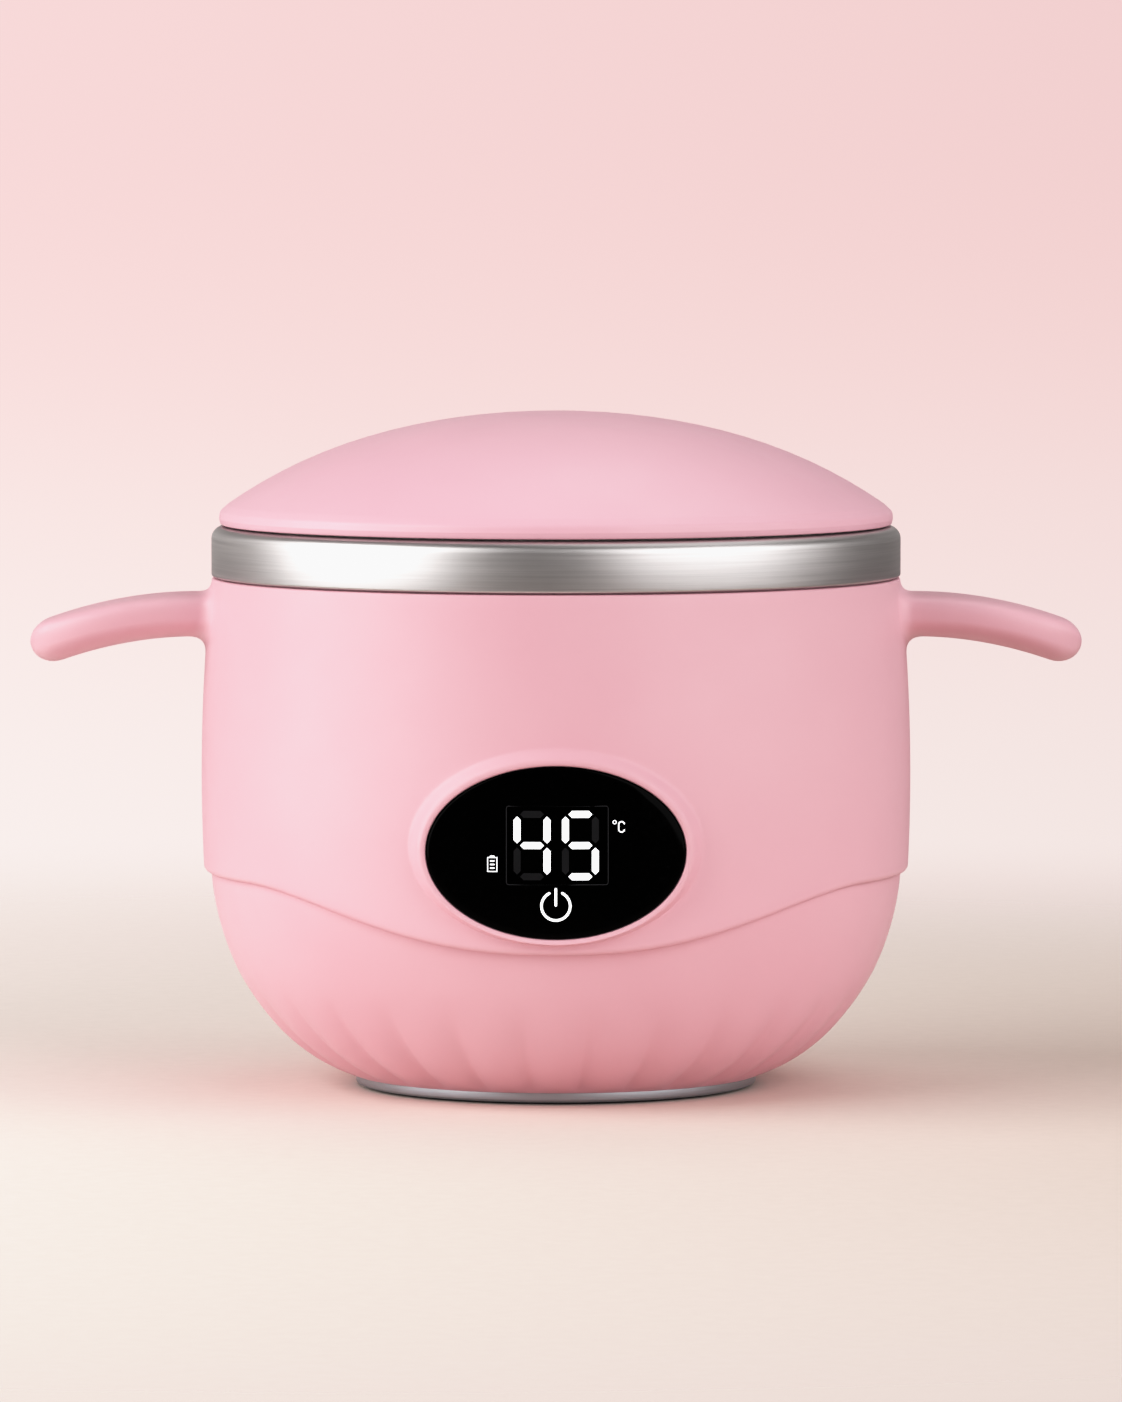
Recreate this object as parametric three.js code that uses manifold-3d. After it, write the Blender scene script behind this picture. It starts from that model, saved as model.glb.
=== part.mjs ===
// Heated, insulated bowl with two ear handles, a lift-off lid and a lift-out steel bowl: a cordless
// yogurt maker. Millimetres, +Z up, the display faces -Y and +X is to the right.
// The origin is under the middle of the foot, on the surface that the object stands on.
import * as THREE from 'three';
import { mergeVertices } from 'three/addons/utils/BufferGeometryUtils.js';
import Module from 'manifold-3d';

const wasm = await Module();
wasm.setup();

// ---------------------------------------------------------------- driving dimensions
const GAP = 0.3; // clearance between neighbours that touch
const TURN = 2 * Math.PI;
const FRONT = -Math.PI / 2; // the direction of -Y, as an angle from +X

const SHELL_SEGMENTS = 48;
const FLUTES = 28;
const SEGMENTS_PER_FLUTE = 3;
const SMOOTH_SEGMENTS = 32;
const HIDDEN_SEGMENTS = 24;
const SMALL_SEGMENTS = 12;

const BODY_R = 64.05; // widest radius of the upper housing
const BODY_WAIST_Z = 56; // height of that radius
const BODY_BOW = 0.0015; // how fast the radius falls off above and below it
const BODY_TOP_Z = 91.9;
const BODY_EDGE = 0.4; // rounding of its top edge
const WALL = 2.2;

const SEAM_LOW_Z = 29.1; // the seam between the housings dips to here at the front and back
const SEAM_HIGH_Z = 39.0; // and runs level here at the sides
const SEAM_REACH = (60 * Math.PI) / 180; // angle from the front at which it is level
const SEAM_EASE = 1.3;
const LAP = 1.2; // height of the lower housing's tongue behind the seam

const LOWER_R = 62.36; // superellipse of the lower housing
const LOWER_WIDEST_Z = 40.25;
const LOWER_DEPTH = 41.3;
const LOWER_POWER_Z = 1.72;
const LOWER_POWER_R = 3.891;
const LOWER_BOTTOM_Z = 2.2;
const LOWER_WALL = 2.0;
const FLUTE_DEPTH = 1.2;
const FLUTE_TOP_Z = 20;
const FLUTE_RUN = 15;

const NECK_R = 60.6; // rim of the upper housing that carries the bowl
const NECK_BORE_R = 58.8;
const NECK_TOP_Z = 98.4;

const BOWL_R = 62.2; // visible steel band
const BAND_BOTTOM_Z = 92.2;
const BOWL_TOP_Z = 101.2;
const BOWL_WALL = 1.0;
const BOWL_BASE_Z = 41; // underside of the bowl's floor
const BOWL_BASE_R = 41; // flat part of the floor
const BOWL_CORNER = 12;
const BOWL_MOUTH_R = 57.3; // outside of the bowl's wall under the rim

const LID_R = 60.8;
const LID_TOP_Z = 121.9;
const LID_BOTTOM_Z = 101.5;
const LID_DROP = 17.3;
const LID_WALL = 2.0;

const HANDLE_ROOT_X = 62;
const HANDLE_LEVEL_X = 65; // the middle line is level up to here, then droops
const HANDLE_Z = 85.15;
const HANDLE_SAG = 145; // larger is straighter
const HANDLE_NOSE_X = 90.4; // the nose rounds off from here
const HANDLE_NOSE_LENGTH = 4.6;
const HANDLE_END_X = 94.8;
const HANDLE_TAPER_X = 76; // it narrows from here to its end
const HANDLE_TAPER_POWER = 2.4;
const HANDLE_HALF_DEPTH = 11;
const HANDLE_HALF_HEIGHT = 3.95;
const HANDLE_SQUARENESS_TOP = 4.5;
const HANDLE_SQUARENESS_BOTTOM = 2;
const HANDLE_FLARE_RUN = 3.4; // fillets where the handle meets the body
const HANDLE_FLARE_SIDE = 2.6;
const HANDLE_FLARE_TOP = 2.2;
const HANDLE_FLARE_BOTTOM = 3.1;

const LENS_Z = 47.2;
const LENS_HALF_W = 22.6;
const LENS_HALF_H = 15.0;
const LENS_FRONT_Y = -65.0;
const LENS_THICKNESS = 2.0;
const LENS_BEND_R = 82;
const BOSS_Z = 47.5;
const BOSS_HALF_W = 25.8;
const BOSS_HALF_H = 17.9;
const BOSS_FRONT_Y = -65.3;

const BASE_R = 36.2;
const BASE_BORE_R = 36.5; // the lower housing's opening for the base plate
const BASE_LIP_R = 36.9; // the flutes end on this radius
const FOOT_R = 34.9;
const SCREW_BORE_R = 1.6;

const CELL_R = 9.2;
const CELL_LENGTH = 65;
const CELL_Z = 18;
const CELL_YS = [-16.5, 2.2];

const BOARD_Z = 29.0; // underside of the main board
const BOARD_THICKNESS = 1.4;
const BOARD_TOP_Z = BOARD_Z + BOARD_THICKNESS;

const PORT_Z = 46;
const PORT_SEAT_Y = 62.5;

const boardScrewSpots = [[-26, 18], [26, 18], [-26, 40], [26, 40]];
const baseScrewSpots = spotsRound(4, 31, TURN / 8);
const plateScrewSpots = spotsRound(3, 27, TURN / 4);

function spotsRound(count, radius, start) {
  return turnAngles(count, start).map((angle) => [radius * Math.cos(angle), radius * Math.sin(angle)]);
}

function turnAngles(count, start) {
  return Array.from({ length: count }, (_, i) => start + (i * TURN) / count);
}

// ---------------------------------------------------------------- geometry helpers
// Closed, welded copy of a geometry, without the flat triangles at a lathe's poles.
function weld(geometry) {
  const source = geometry.clone();
  source.deleteAttribute('normal');
  source.deleteAttribute('uv');
  const merged = mergeVertices(source, 1e-3);
  const old = merged.index.array;
  const kept = [];
  for (let i = 0; i < old.length; i += 3) {
    const [a, b, c] = [old[i], old[i + 1], old[i + 2]];
    if (a !== b && b !== c && c !== a) kept.push(a, b, c);
  }
  merged.setIndex(kept);
  return merged;
}

function toSolid(geometry) {
  const welded = weld(geometry);
  return new wasm.Manifold(
    new wasm.Mesh({
      numProp: 3,
      vertProperties: new Float32Array(welded.attributes.position.array),
      triVerts: new Uint32Array(welded.index.array),
    }),
  );
}

function fromSolid(solid) {
  const mesh = solid.getMesh();
  const geometry = new THREE.BufferGeometry();
  geometry.setAttribute('position', new THREE.BufferAttribute(mesh.vertProperties, 3));
  geometry.setIndex(new THREE.BufferAttribute(mesh.triVerts, 1));
  geometry.computeVertexNormals();
  return geometry;
}

function cut(geometry, ...tools) {
  let solid = toSolid(geometry);
  for (const tool of tools) solid = solid.subtract(toSolid(tool));
  return fromSolid(solid);
}

function join(geometry, ...others) {
  let solid = toSolid(geometry);
  for (const other of others) solid = solid.add(toSolid(other));
  return fromSolid(solid);
}

// Turned piece about Z. The outline runs counter-clockwise as [radius, z]: out along the bottom,
// up the outside and back to the axis, or round to its own start.
function turned(outline, segments = SMOOTH_SEGMENTS) {
  const first = outline[0];
  const closed = first[0] > 0 ? [...outline, first] : outline;
  const points = closed.map(([r, z]) => new THREE.Vector2(r, z));
  return new THREE.LatheGeometry(points, segments).rotateX(Math.PI / 2);
}

// The same, where the outline changes with the angle round Z. angles is a list over one turn.
function turnedVarying(outlineAt, angles) {
  const rings = angles.map(outlineAt);
  const count = rings[0].length;
  const positions = [];
  rings.forEach((ring, i) => {
    for (const [r, z] of ring) {
      positions.push(r * Math.cos(angles[i]), r * Math.sin(angles[i]), z);
    }
  });
  const onAxis = rings[0][0][0] === 0;
  const steps = onAxis ? count - 1 : count;
  const index = [];
  for (let i = 0; i < angles.length; i += 1) {
    const here = i * count;
    const next = ((i + 1) % angles.length) * count;
    for (let j = 0; j < steps; j += 1) {
      const k = (j + 1) % count;
      index.push(here + j, next + j, next + k);
      index.push(here + j, next + k, here + k);
    }
  }
  const geometry = new THREE.BufferGeometry();
  geometry.setAttribute('position', new THREE.Float32BufferAttribute(positions, 3));
  geometry.setIndex(index);
  return geometry;
}

// Closed skin over a stack of rings with equal point counts; the end rings are filled.
function lofted(rings) {
  const count = rings[0].length;
  const positions = rings.flat(2);
  const index = [];
  for (let i = 0; i + 1 < rings.length; i += 1) {
    for (let j = 0; j < count; j += 1) {
      const k = (j + 1) % count;
      const [a, b, c, d] = [i * count + j, i * count + k, (i + 1) * count + k, (i + 1) * count + j];
      index.push(a, b, c, a, c, d);
    }
  }
  const last = (rings.length - 1) * count;
  for (let j = 1; j + 1 < count; j += 1) {
    index.push(0, j + 1, j);
    index.push(last, last + j, last + j + 1);
  }
  const geometry = new THREE.BufferGeometry();
  geometry.setAttribute('position', new THREE.Float32BufferAttribute(positions, 3));
  geometry.setIndex(index);
  return geometry;
}

function rod(radius, low, high, x = 0, y = 0, segments = SMALL_SEGMENTS) {
  const geometry = new THREE.CylinderGeometry(radius, radius, high - low, segments);
  return geometry.rotateX(Math.PI / 2).translate(x, y, (low + high) / 2);
}

function block([x0, x1], [y0, y1], [z0, z1]) {
  const geometry = new THREE.BoxGeometry(x1 - x0, y1 - y0, z1 - z0);
  return geometry.translate((x0 + x1) / 2, (y0 + y1) / 2, (z0 + z1) / 2);
}

// Upright outline in the XZ plane, pushed from y0 to y1.
function slab(shape, y0, y1, curveSegments = 8) {
  const geometry = new THREE.ExtrudeGeometry(shape, {
    depth: y1 - y0,
    bevelEnabled: false,
    curveSegments,
  });
  return geometry.rotateX(Math.PI / 2).translate(0, y1, 0);
}

function ellipse(halfWidth, halfHeight, z) {
  return new THREE.Shape().absellipse(0, z, halfWidth, halfHeight, 0, TURN);
}

function roundedRectangle(halfWidth, halfHeight, corner, z) {
  const shape = new THREE.Shape();
  const [w, h] = [halfWidth - corner, halfHeight - corner];
  shape.absarc(w, z + h, corner, 0, Math.PI / 2);
  shape.absarc(-w, z + h, corner, Math.PI / 2, Math.PI);
  shape.absarc(-w, z - h, corner, Math.PI, 1.5 * Math.PI);
  shape.absarc(w, z - h, corner, 1.5 * Math.PI, TURN);
  return shape;
}

// Bends a piece at the front back along the body, as a cylinder of LENS_BEND_R would.
function bendBack(geometry) {
  const position = geometry.attributes.position;
  for (let i = 0; i < position.count; i += 1) {
    const x = position.getX(i);
    position.setY(i, position.getY(i) + (x * x) / (2 * LENS_BEND_R));
  }
  return geometry;
}

function sweep(points, shape, steps) {
  const extrudePath = new THREE.CatmullRomCurve3(points.map((p) => new THREE.Vector3(...p)));
  return new THREE.ExtrudeGeometry(shape, { steps, bevelEnabled: false, extrudePath });
}

function polygon(radius, sides) {
  const corners = [];
  for (let i = 0; i < sides; i += 1) {
    const angle = (i * TURN) / sides;
    corners.push(new THREE.Vector2(radius * Math.cos(angle), radius * Math.sin(angle)));
  }
  return new THREE.Shape(corners);
}

// Quarter-round or part arc as outline points, ends included.
function arc(centreR, centreZ, radius, startDegrees, endDegrees, steps) {
  const points = [];
  for (let i = 0; i <= steps; i += 1) {
    const degrees = startDegrees + ((endDegrees - startDegrees) * i) / steps;
    const angle = (degrees * Math.PI) / 180;
    points.push([centreR + radius * Math.cos(angle), centreZ + radius * Math.sin(angle)]);
  }
  return points;
}

// ---------------------------------------------------------------- outer curves
function upperRadius(z) {
  return BODY_R - BODY_BOW * (z - BODY_WAIST_Z) ** 2;
}

function lowerRadius(z) {
  const depth = Math.max(0, (LOWER_WIDEST_Z - z) / LOWER_DEPTH);
  return LOWER_R * (1 - depth ** LOWER_POWER_Z) ** (1 / LOWER_POWER_R);
}

// Height of the seam between the housings; the back mirrors the front.
function seamZ(angle) {
  const fromFront = Math.abs(Math.atan2(Math.cos(angle), -Math.sin(angle)));
  const off = Math.min(fromFront, Math.PI - fromFront, SEAM_REACH);
  const rise = ((1 - Math.cos((Math.PI * off) / SEAM_REACH)) / 2) ** SEAM_EASE;
  return SEAM_LOW_Z + (SEAM_HIGH_Z - SEAM_LOW_Z) * rise;
}

function lidZ(r) {
  const t = r / 60;
  return LID_TOP_Z - LID_DROP * (0.764 * t ** 2 + 0.236 * t ** 4);
}

// ---------------------------------------------------------------- housings
function upperShell() {
  const outline = (angle) => {
    const seam = seamZ(angle);
    const lapTop = seam + LAP + 0.4;
    const sideBottom = seam + LAP;
    const side = [];
    for (const share of [0, 0.33, 0.66, 1]) {
      const z = sideBottom + (BODY_TOP_Z - BODY_EDGE - sideBottom) * share;
      side.push([upperRadius(z), z]);
    }
    return [
      [lowerRadius(seam) + 0.35, seam],
      [upperRadius(seam) - 0.8, seam],
      ...side,
      [upperRadius(BODY_TOP_Z) - BODY_EDGE, BODY_TOP_Z],
      [NECK_R, BODY_TOP_Z],
      [NECK_R, NECK_TOP_Z],
      [NECK_BORE_R, NECK_TOP_Z],
      [NECK_BORE_R, 90],
      [upperRadius(88) - WALL, 88],
      [upperRadius(BODY_WAIST_Z) - WALL, BODY_WAIST_Z],
      [upperRadius(lapTop) - WALL, lapTop],
      [lowerRadius(seam + LAP) + 0.35, lapTop],
    ];
  };
  return turnedVarying(outline, turnAngles(SHELL_SEGMENTS, FRONT));
}

// Section of the ear handle square to its middle line. along is x on that line, flare runs from 0 to 1.
function handleSection(along, flare, corners) {
  const nose = Math.max(0, (along - HANDLE_NOSE_X) / (HANDLE_END_X - HANDLE_NOSE_X));
  const bend = Math.max(0, Math.min(along, HANDLE_NOSE_X) - HANDLE_LEVEL_X);
  const slope = Math.atan((2 * bend) / HANDLE_SAG);
  const middleX = Math.min(along, HANDLE_NOSE_X) + nose * HANDLE_NOSE_LENGTH * Math.cos(slope);
  const middleZ = HANDLE_Z - bend ** 2 / HANDLE_SAG - nose * HANDLE_NOSE_LENGTH * Math.sin(slope);
  const taper = Math.max(0, (along - HANDLE_TAPER_X) / (HANDLE_END_X - HANDLE_TAPER_X));
  const narrowed = HANDLE_HALF_DEPTH * (1 - taper ** HANDLE_TAPER_POWER) ** (1 / HANDLE_TAPER_POWER);
  const halfDepth = narrowed + HANDLE_FLARE_SIDE * flare;
  const halfHeight = HANDLE_HALF_HEIGHT * Math.sqrt(1 - nose ** 2);
  return turnAngles(corners, TURN / corners / 2).map((angle) => {
    const [across, up] = [Math.cos(angle), Math.sin(angle)];
    const power = 2 / (up > 0 ? HANDLE_SQUARENESS_TOP : HANDLE_SQUARENESS_BOTTOM);
    const reach = halfHeight + flare * (up > 0 ? HANDLE_FLARE_TOP : HANDLE_FLARE_BOTTOM);
    const height = reach * Math.sign(up) * Math.abs(up) ** power;
    const depth = halfDepth * Math.sign(across) * Math.abs(across) ** power;
    return [middleX + height * Math.sin(slope), depth, middleZ + height * Math.cos(slope)];
  });
}

// One ear handle: a fillet out of the body, a drooping tongue and a round nose.
function handle(side) {
  const straight = [60.5, 62.3, 63.6, 65.4, 70, 75, 79, 83, 87, HANDLE_NOSE_X];
  const nose = [0.35, 0.62, 0.82, 0.94, 0.99].map(
    (share) => HANDLE_NOSE_X + (HANDLE_END_X - HANDLE_NOSE_X) * share,
  );
  const rings = [...straight, ...nose].map((along) => {
    const flare = Math.min(1, Math.max(0, 1 - (along - HANDLE_ROOT_X) / HANDLE_FLARE_RUN)) ** 2;
    return handleSection(along, flare, 16).map(([x, y, z]) => [side * x, side * y, z]);
  });
  return lofted(rings);
}

function upperHousing() {
  const boss = bendBack(slab(ellipse(BOSS_HALF_W, BOSS_HALF_H, BOSS_Z), BOSS_FRONT_Y, -62.9, 16));
  const ledge = bendBack(slab(ellipse(24.2, 16.5, LENS_Z), -63.5, -60.8, 12));
  const recessOutline = ellipse(LENS_HALF_W + GAP, LENS_HALF_H + GAP, LENS_Z);
  const recess = bendBack(slab(recessOutline, -68, -61.9, 16));
  const window = slab(ellipse(19.9, 12.4, LENS_Z), -70, -52, 12);
  const portPad = block([-10, 10], [60.5, 62.6], [PORT_Z - 7, PORT_Z + 7.6]);
  const flapSeat = slab(roundedRectangle(7.8, 5.3, 2.8, PORT_Z), PORT_SEAT_Y, 68, 4);
  const socketSlot = slab(roundedRectangle(4.9, 2.0, 1.9, PORT_Z + 1), 58, 66, 4);
  const whole = join(upperShell(), handle(1), handle(-1), boss, ledge, portPad);
  return cut(whole, recess, window, flapSeat, socketSlot);
}

function fluteRadius(z, angle) {
  const strength = Math.max(0, Math.min(1, (FLUTE_TOP_Z - z) / FLUTE_RUN));
  const valley = 1 - Math.abs(Math.cos((FLUTES / 2) * (angle - FRONT)));
  return Math.max(lowerRadius(z) - FLUTE_DEPTH * strength * valley, BASE_LIP_R);
}

function lowerHousing() {
  const outline = (angle) => {
    const top = seamZ(angle) + LAP;
    const outside = [LOWER_BOTTOM_Z, 3.8, 7.5, 14].map((z) => [fluteRadius(z, angle), z]);
    const inside = [14, 7.5].map((z) => [lowerRadius(z) - LOWER_WALL - FLUTE_DEPTH, z]);
    return [
      [0, 3.5],
      [BASE_BORE_R, 3.5],
      [BASE_BORE_R, LOWER_BOTTOM_Z],
      ...outside,
      [lowerRadius(22), 22],
      [lowerRadius(top), top],
      [lowerRadius(top) - LOWER_WALL, top],
      [lowerRadius(22) - LOWER_WALL, 22],
      ...inside,
      [39, 5.5],
      [0, 5.5],
    ];
  };
  const valley = FRONT + TURN / FLUTES / 2;
  const shell = turnedVarying(outline, turnAngles(FLUTES * SEGMENTS_PER_FLUTE, valley));
  const heights = [3, 6, 10.5, 18, 28.7];
  const middle = heights.map((z) => [lowerRadius(z) - FLUTE_DEPTH - 1, z]);
  const inner = toSolid(turned([[0, 4.5], ...middle, [0, 28.7]]));
  let solid = toSolid(shell);
  for (const [x, y] of boardScrewSpots) {
    solid = solid.add(inner.intersect(toSolid(rod(3.2, 4, 28.7, x, y))));
    solid = solid.subtract(toSolid(rod(SCREW_BORE_R, 21, 30, x, y, 8)));
  }
  for (const [x, y] of baseScrewSpots) {
    solid = solid.add(toSolid(rod(3.4, 4.5, 6.9, x, y)));
    solid = solid.subtract(toSolid(rod(SCREW_BORE_R, 2, 6.6, x, y, 8)));
  }
  return fromSolid(solid);
}

// Pan-head screw with its head down, the underside of the head's seat at z = 0.
function screw(headRadius, headHeight, shankRadius, shankLength) {
  return turned(
    [
      [0, -headHeight],
      [headRadius * 0.75, -headHeight],
      [headRadius, -headHeight * 0.5],
      [headRadius, 0],
      [shankRadius, 0],
      [shankRadius, shankLength - 0.8],
      [0, shankLength],
    ],
    SMALL_SEGMENTS,
  );
}

// ---------------------------------------------------------------- base
function basePlate() {
  const dish = turned([
    [0, 2.4],
    [BASE_R - 1, 2.4],
    [BASE_R - 1, 0.4],
    [BASE_R - 0.3, 0.4],
    [BASE_R, 0.7],
    [BASE_R, 2.8],
    [BASE_R - 0.4, 3.2],
    [0, 3.2],
  ]);
  return cut(dish, ...baseScrewSpots.map(([x, y]) => rod(1.8, 2, 4, x, y)));
}

function footPad() {
  const disc = turned([[0, 0], [FOOT_R - 0.5, 0], [FOOT_R, 0.5], [FOOT_R, 2.1], [0, 2.1]]);
  return cut(disc, ...baseScrewSpots.map(([x, y]) => rod(3.1, 0.7, 3, x, y)));
}

// ---------------------------------------------------------------- steel bowl, lid and seals
function innerBowl() {
  const corner = [BOWL_BASE_R, BOWL_BASE_Z + BOWL_CORNER];
  return turned([
    [0, BOWL_BASE_Z],
    ...arc(...corner, BOWL_CORNER, -90, 0, 3),
    [BOWL_MOUTH_R, 98],
    [BOWL_MOUTH_R, 99.6],
    [58, 100.2],
    [60, 100.2],
    [BOWL_R - BOWL_WALL, 99],
    [BOWL_R - BOWL_WALL, BAND_BOTTOM_Z],
    [BOWL_R, BAND_BOTTOM_Z],
    ...arc(BOWL_R - 2.2, BOWL_TOP_Z - 2.2, 2.2, 0, 90, 3),
    [58, BOWL_TOP_Z],
    [56.8, 100.4],
    [BOWL_MOUTH_R - BOWL_WALL, 98],
    ...arc(...corner, BOWL_CORNER - BOWL_WALL, 0, -90, 3),
    [0, BOWL_BASE_Z + BOWL_WALL],
  ]);
}

function bowlGasket() {
  return turned([[57.9, 98.7], [NECK_R - 0.1, 98.7], [NECK_R - 0.1, 99.3], [59.8, 99.9], [57.9, 99.9]]);
}

function lidCover() {
  const domed = [59.4, 54, 45, 34, 20].map((r) => [r, lidZ(r)]);
  const hollow = [20, 38, 50, 57].map((r) => [r, lidZ(r) - LID_WALL]);
  return turned([
    [LID_R - 2.2, LID_BOTTOM_Z],
    [LID_R - 0.6, LID_BOTTOM_Z],
    [LID_R, LID_BOTTOM_Z + 0.6],
    [LID_R, 103.4],
    ...domed,
    [0, LID_TOP_Z],
    [0, LID_TOP_Z - LID_WALL],
    ...hollow,
    [LID_R - 2.2, 103.6],
  ]);
}

function lidLiner() {
  return turned([
    [0, 97.5],
    [52.5, 97.5],
    [54, 99],
    [54, 102.9],
    [57, 102.9],
    [57, 103.9],
    [52.5, 103.9],
    [52.5, 99.6],
    [51.5, 99],
    [0, 99],
  ]);
}

function lidSeal() {
  return turned([
    [54.3, 98.2],
    [55.9, 98.6],
    [55.9, 101.5],
    [58.2, 101.5],
    [58.2, 102.6],
    [54.3, 102.6],
  ]);
}

// ---------------------------------------------------------------- well and heater
function innerSleeve() {
  const corner = [BOWL_BASE_R, BOWL_BASE_Z + BOWL_CORNER];
  return turned([
    [37.3, 36],
    [38.5, 36],
    [38.5, 39.2],
    ...arc(...corner, BOWL_CORNER + 1.8, -90, 0, 3),
    [58.5, 94],
    [58.5, 98.2],
    [57.7, 98.2],
    ...arc(...corner, BOWL_CORNER + 0.6, 0, -90, 3),
    [37.3, 40.4],
  ]);
}

function insulationJacket() {
  return turned([[56.6, 64], [61, 64], [60, 87], [58.9, 87]]);
}

function heatingPlate() {
  const disc = turned([[6.5, 38], [35.5, 38], [35.5, 40.7], [6.5, 40.7]], HIDDEN_SEGMENTS);
  return cut(disc, ...plateScrewSpots.map(([x, y]) => rod(1.7, 37, 39.8, x, y, 8)));
}

function heaterFilm() {
  const ring = turned([[9, 37.2], [34, 37.2], [34, 37.7], [9, 37.7]], HIDDEN_SEGMENTS);
  return cut(ring, ...plateScrewSpots.map(([x, y]) => rod(2, 36, 39, x, y, 8)));
}

function heaterClamp() {
  const ring = turned([[11, 36.1], [33, 36.1], [33, 36.9], [11, 36.9]], HIDDEN_SEGMENTS);
  return cut(ring, ...plateScrewSpots.map(([x, y]) => rod(2, 35, 38, x, y, 8)));
}

function sensorBracket() {
  return turned(
    [[0, 28.5], [7.6, 28.5], [7.6, 34.8], [12.5, 34.8], [12.5, 35.8], [6.2, 35.8], [6.2, 30], [0, 30]],
    20,
  );
}

function sensorProbe() {
  return turned([[4.6, 33], [5.8, 33], [5.8, 40.2], [5.3, 40.7], [0, 40.7], [0, 39.5], [4.6, 39.5]], 20);
}

function sensorSpring() {
  const turns = 4;
  const steps = turns * 8;
  const points = [];
  for (let i = 0; i <= steps; i += 1) {
    const angle = (i * TURN * turns) / steps;
    points.push([3.6 * Math.cos(angle), 3.6 * Math.sin(angle), 30.8 + (7.9 * i) / steps]);
  }
  return sweep(points, polygon(0.4, 5), steps);
}

// ---------------------------------------------------------------- display
// Thin oval plate that follows the body's curve, from front to front + thickness in Y.
function ovalPlate(halfWidth, halfHeight, front, thickness) {
  const disc = turned([[0, 0], [0.55, 0], [1, 0], [1, 1], [0.55, 1], [0, 1]], 24);
  disc.rotateX(-Math.PI / 2).scale(halfWidth, thickness, halfHeight);
  return bendBack(disc.translate(0, front, LENS_Z));
}

function lensGasket() {
  const outline = ellipse(22.3, 14.7, LENS_Z);
  outline.holes.push(new THREE.Path().absellipse(0, LENS_Z, 20.4, 12.9, 0, TURN));
  return bendBack(slab(outline, -62.7, -62.2, 16));
}

function touchSpring() {
  const turns = 3;
  const steps = turns * 8;
  const points = [];
  for (let i = 0; i <= steps; i += 1) {
    const angle = (i * TURN * turns) / steps;
    points.push([2.2 * Math.cos(angle), -62 + (3.6 * i) / steps, 38 + 2.2 * Math.sin(angle)]);
  }
  return sweep(points, polygon(0.25, 5), steps);
}

// ---------------------------------------------------------------- power
function cellGeometry() {
  const half = CELL_LENGTH / 2;
  const terminal = half + 0.8;
  const outline = [[0, -half], [CELL_R, -half], [CELL_R, half], [3.2, half], [3.2, terminal], [0, terminal]];
  return turned(outline, 20).rotateY(Math.PI / 2);
}

function batteryHolder() {
  const tray = join(block([-34, 34], [-26.2, 11.9], [7.2, 13.5]), block([-16, 16], [-22, 8], [5.8, 8]));
  const length = CELL_LENGTH + 1.8;
  const bays = CELL_YS.map((y) => {
    const bay = new THREE.CylinderGeometry(CELL_R + GAP, CELL_R + GAP, length, 24);
    return bay.rotateZ(Math.PI / 2).translate(0.3, y, CELL_Z);
  });
  return cut(tray, ...bays);
}

function mainBoard() {
  const board = block([-30, 30], [14, 44], [BOARD_Z, BOARD_TOP_Z]);
  return cut(board, ...boardScrewSpots.map(([x, y]) => rod(1.8, 28, 32, x, y, 8)));
}

// ---------------------------------------------------------------- charging port
function usbSocket() {
  const outer = slab(roundedRectangle(4.47, 1.63, 1.5, PORT_Z + 1), 54.9, 62.2, 3);
  const mouth = slab(roundedRectangle(4.17, 1.28, 1.2, PORT_Z + 1), 56, 63, 3);
  const tongue = block([-3.35, 3.35], [55.4, 61], [PORT_Z + 0.65, PORT_Z + 1.35]);
  return join(cut(outer, mouth), tongue);
}

function portCover() {
  const flap = slab(roundedRectangle(7.5, 5, 2.5, PORT_Z), PORT_SEAT_Y + GAP, 64.2, 4);
  const plug = slab(roundedRectangle(3.6, 0.6, 0.5, PORT_Z + 1), 61.4, 63.2, 2);
  const finger = block([-2.5, 2.5], [63.8, 65], [PORT_Z + 3.2, PORT_Z + 4.4]);
  return join(flap, plug, finger);
}

// ---------------------------------------------------------------- assembly
const FINISHES = {
  pink: { color: '#eab9c3', roughness: 0.48, metalness: 0 },
  pinkLower: { color: '#e2a8b4', roughness: 0.48, metalness: 0 },
  pinkLid: { color: '#efc3cc', roughness: 0.45, metalness: 0 },
  steel: { color: '#b9b3b1', roughness: 0.28, metalness: 1 },
  silicone: { color: '#e8e2dd', roughness: 0.7, metalness: 0 },
  pinkSilicone: { color: '#dda3af', roughness: 0.65, metalness: 0 },
  darkRubber: { color: '#3a3536', roughness: 0.8, metalness: 0 },
  liner: { color: '#f4efea', roughness: 0.5, metalness: 0 },
  aluminium: { color: '#c6c8ca', roughness: 0.4, metalness: 1 },
  felt: { color: '#d9d5cf', roughness: 0.95, metalness: 0 },
  film: { color: '#b5702e', roughness: 0.5, metalness: 0 },
  lens: { color: '#0b0a0b', roughness: 0.08, metalness: 0 },
  digits: { color: '#d8d8d8', roughness: 0.5, metalness: 0 },
  led: { color: '#f3f0d8', roughness: 0.4, metalness: 0 },
  circuit: { color: '#1f6b3c', roughness: 0.5, metalness: 0 },
  chip: { color: '#1a1a1c', roughness: 0.6, metalness: 0 },
  cell: { color: '#2f6fb0', roughness: 0.4, metalness: 0 },
  black: { color: '#26262a', roughness: 0.6, metalness: 0 },
  wire: { color: '#b3261e', roughness: 0.5, metalness: 0 },
  ribbon: { color: '#c9c4b8', roughness: 0.5, metalness: 0 },
};

const object = new THREE.Group();

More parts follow.
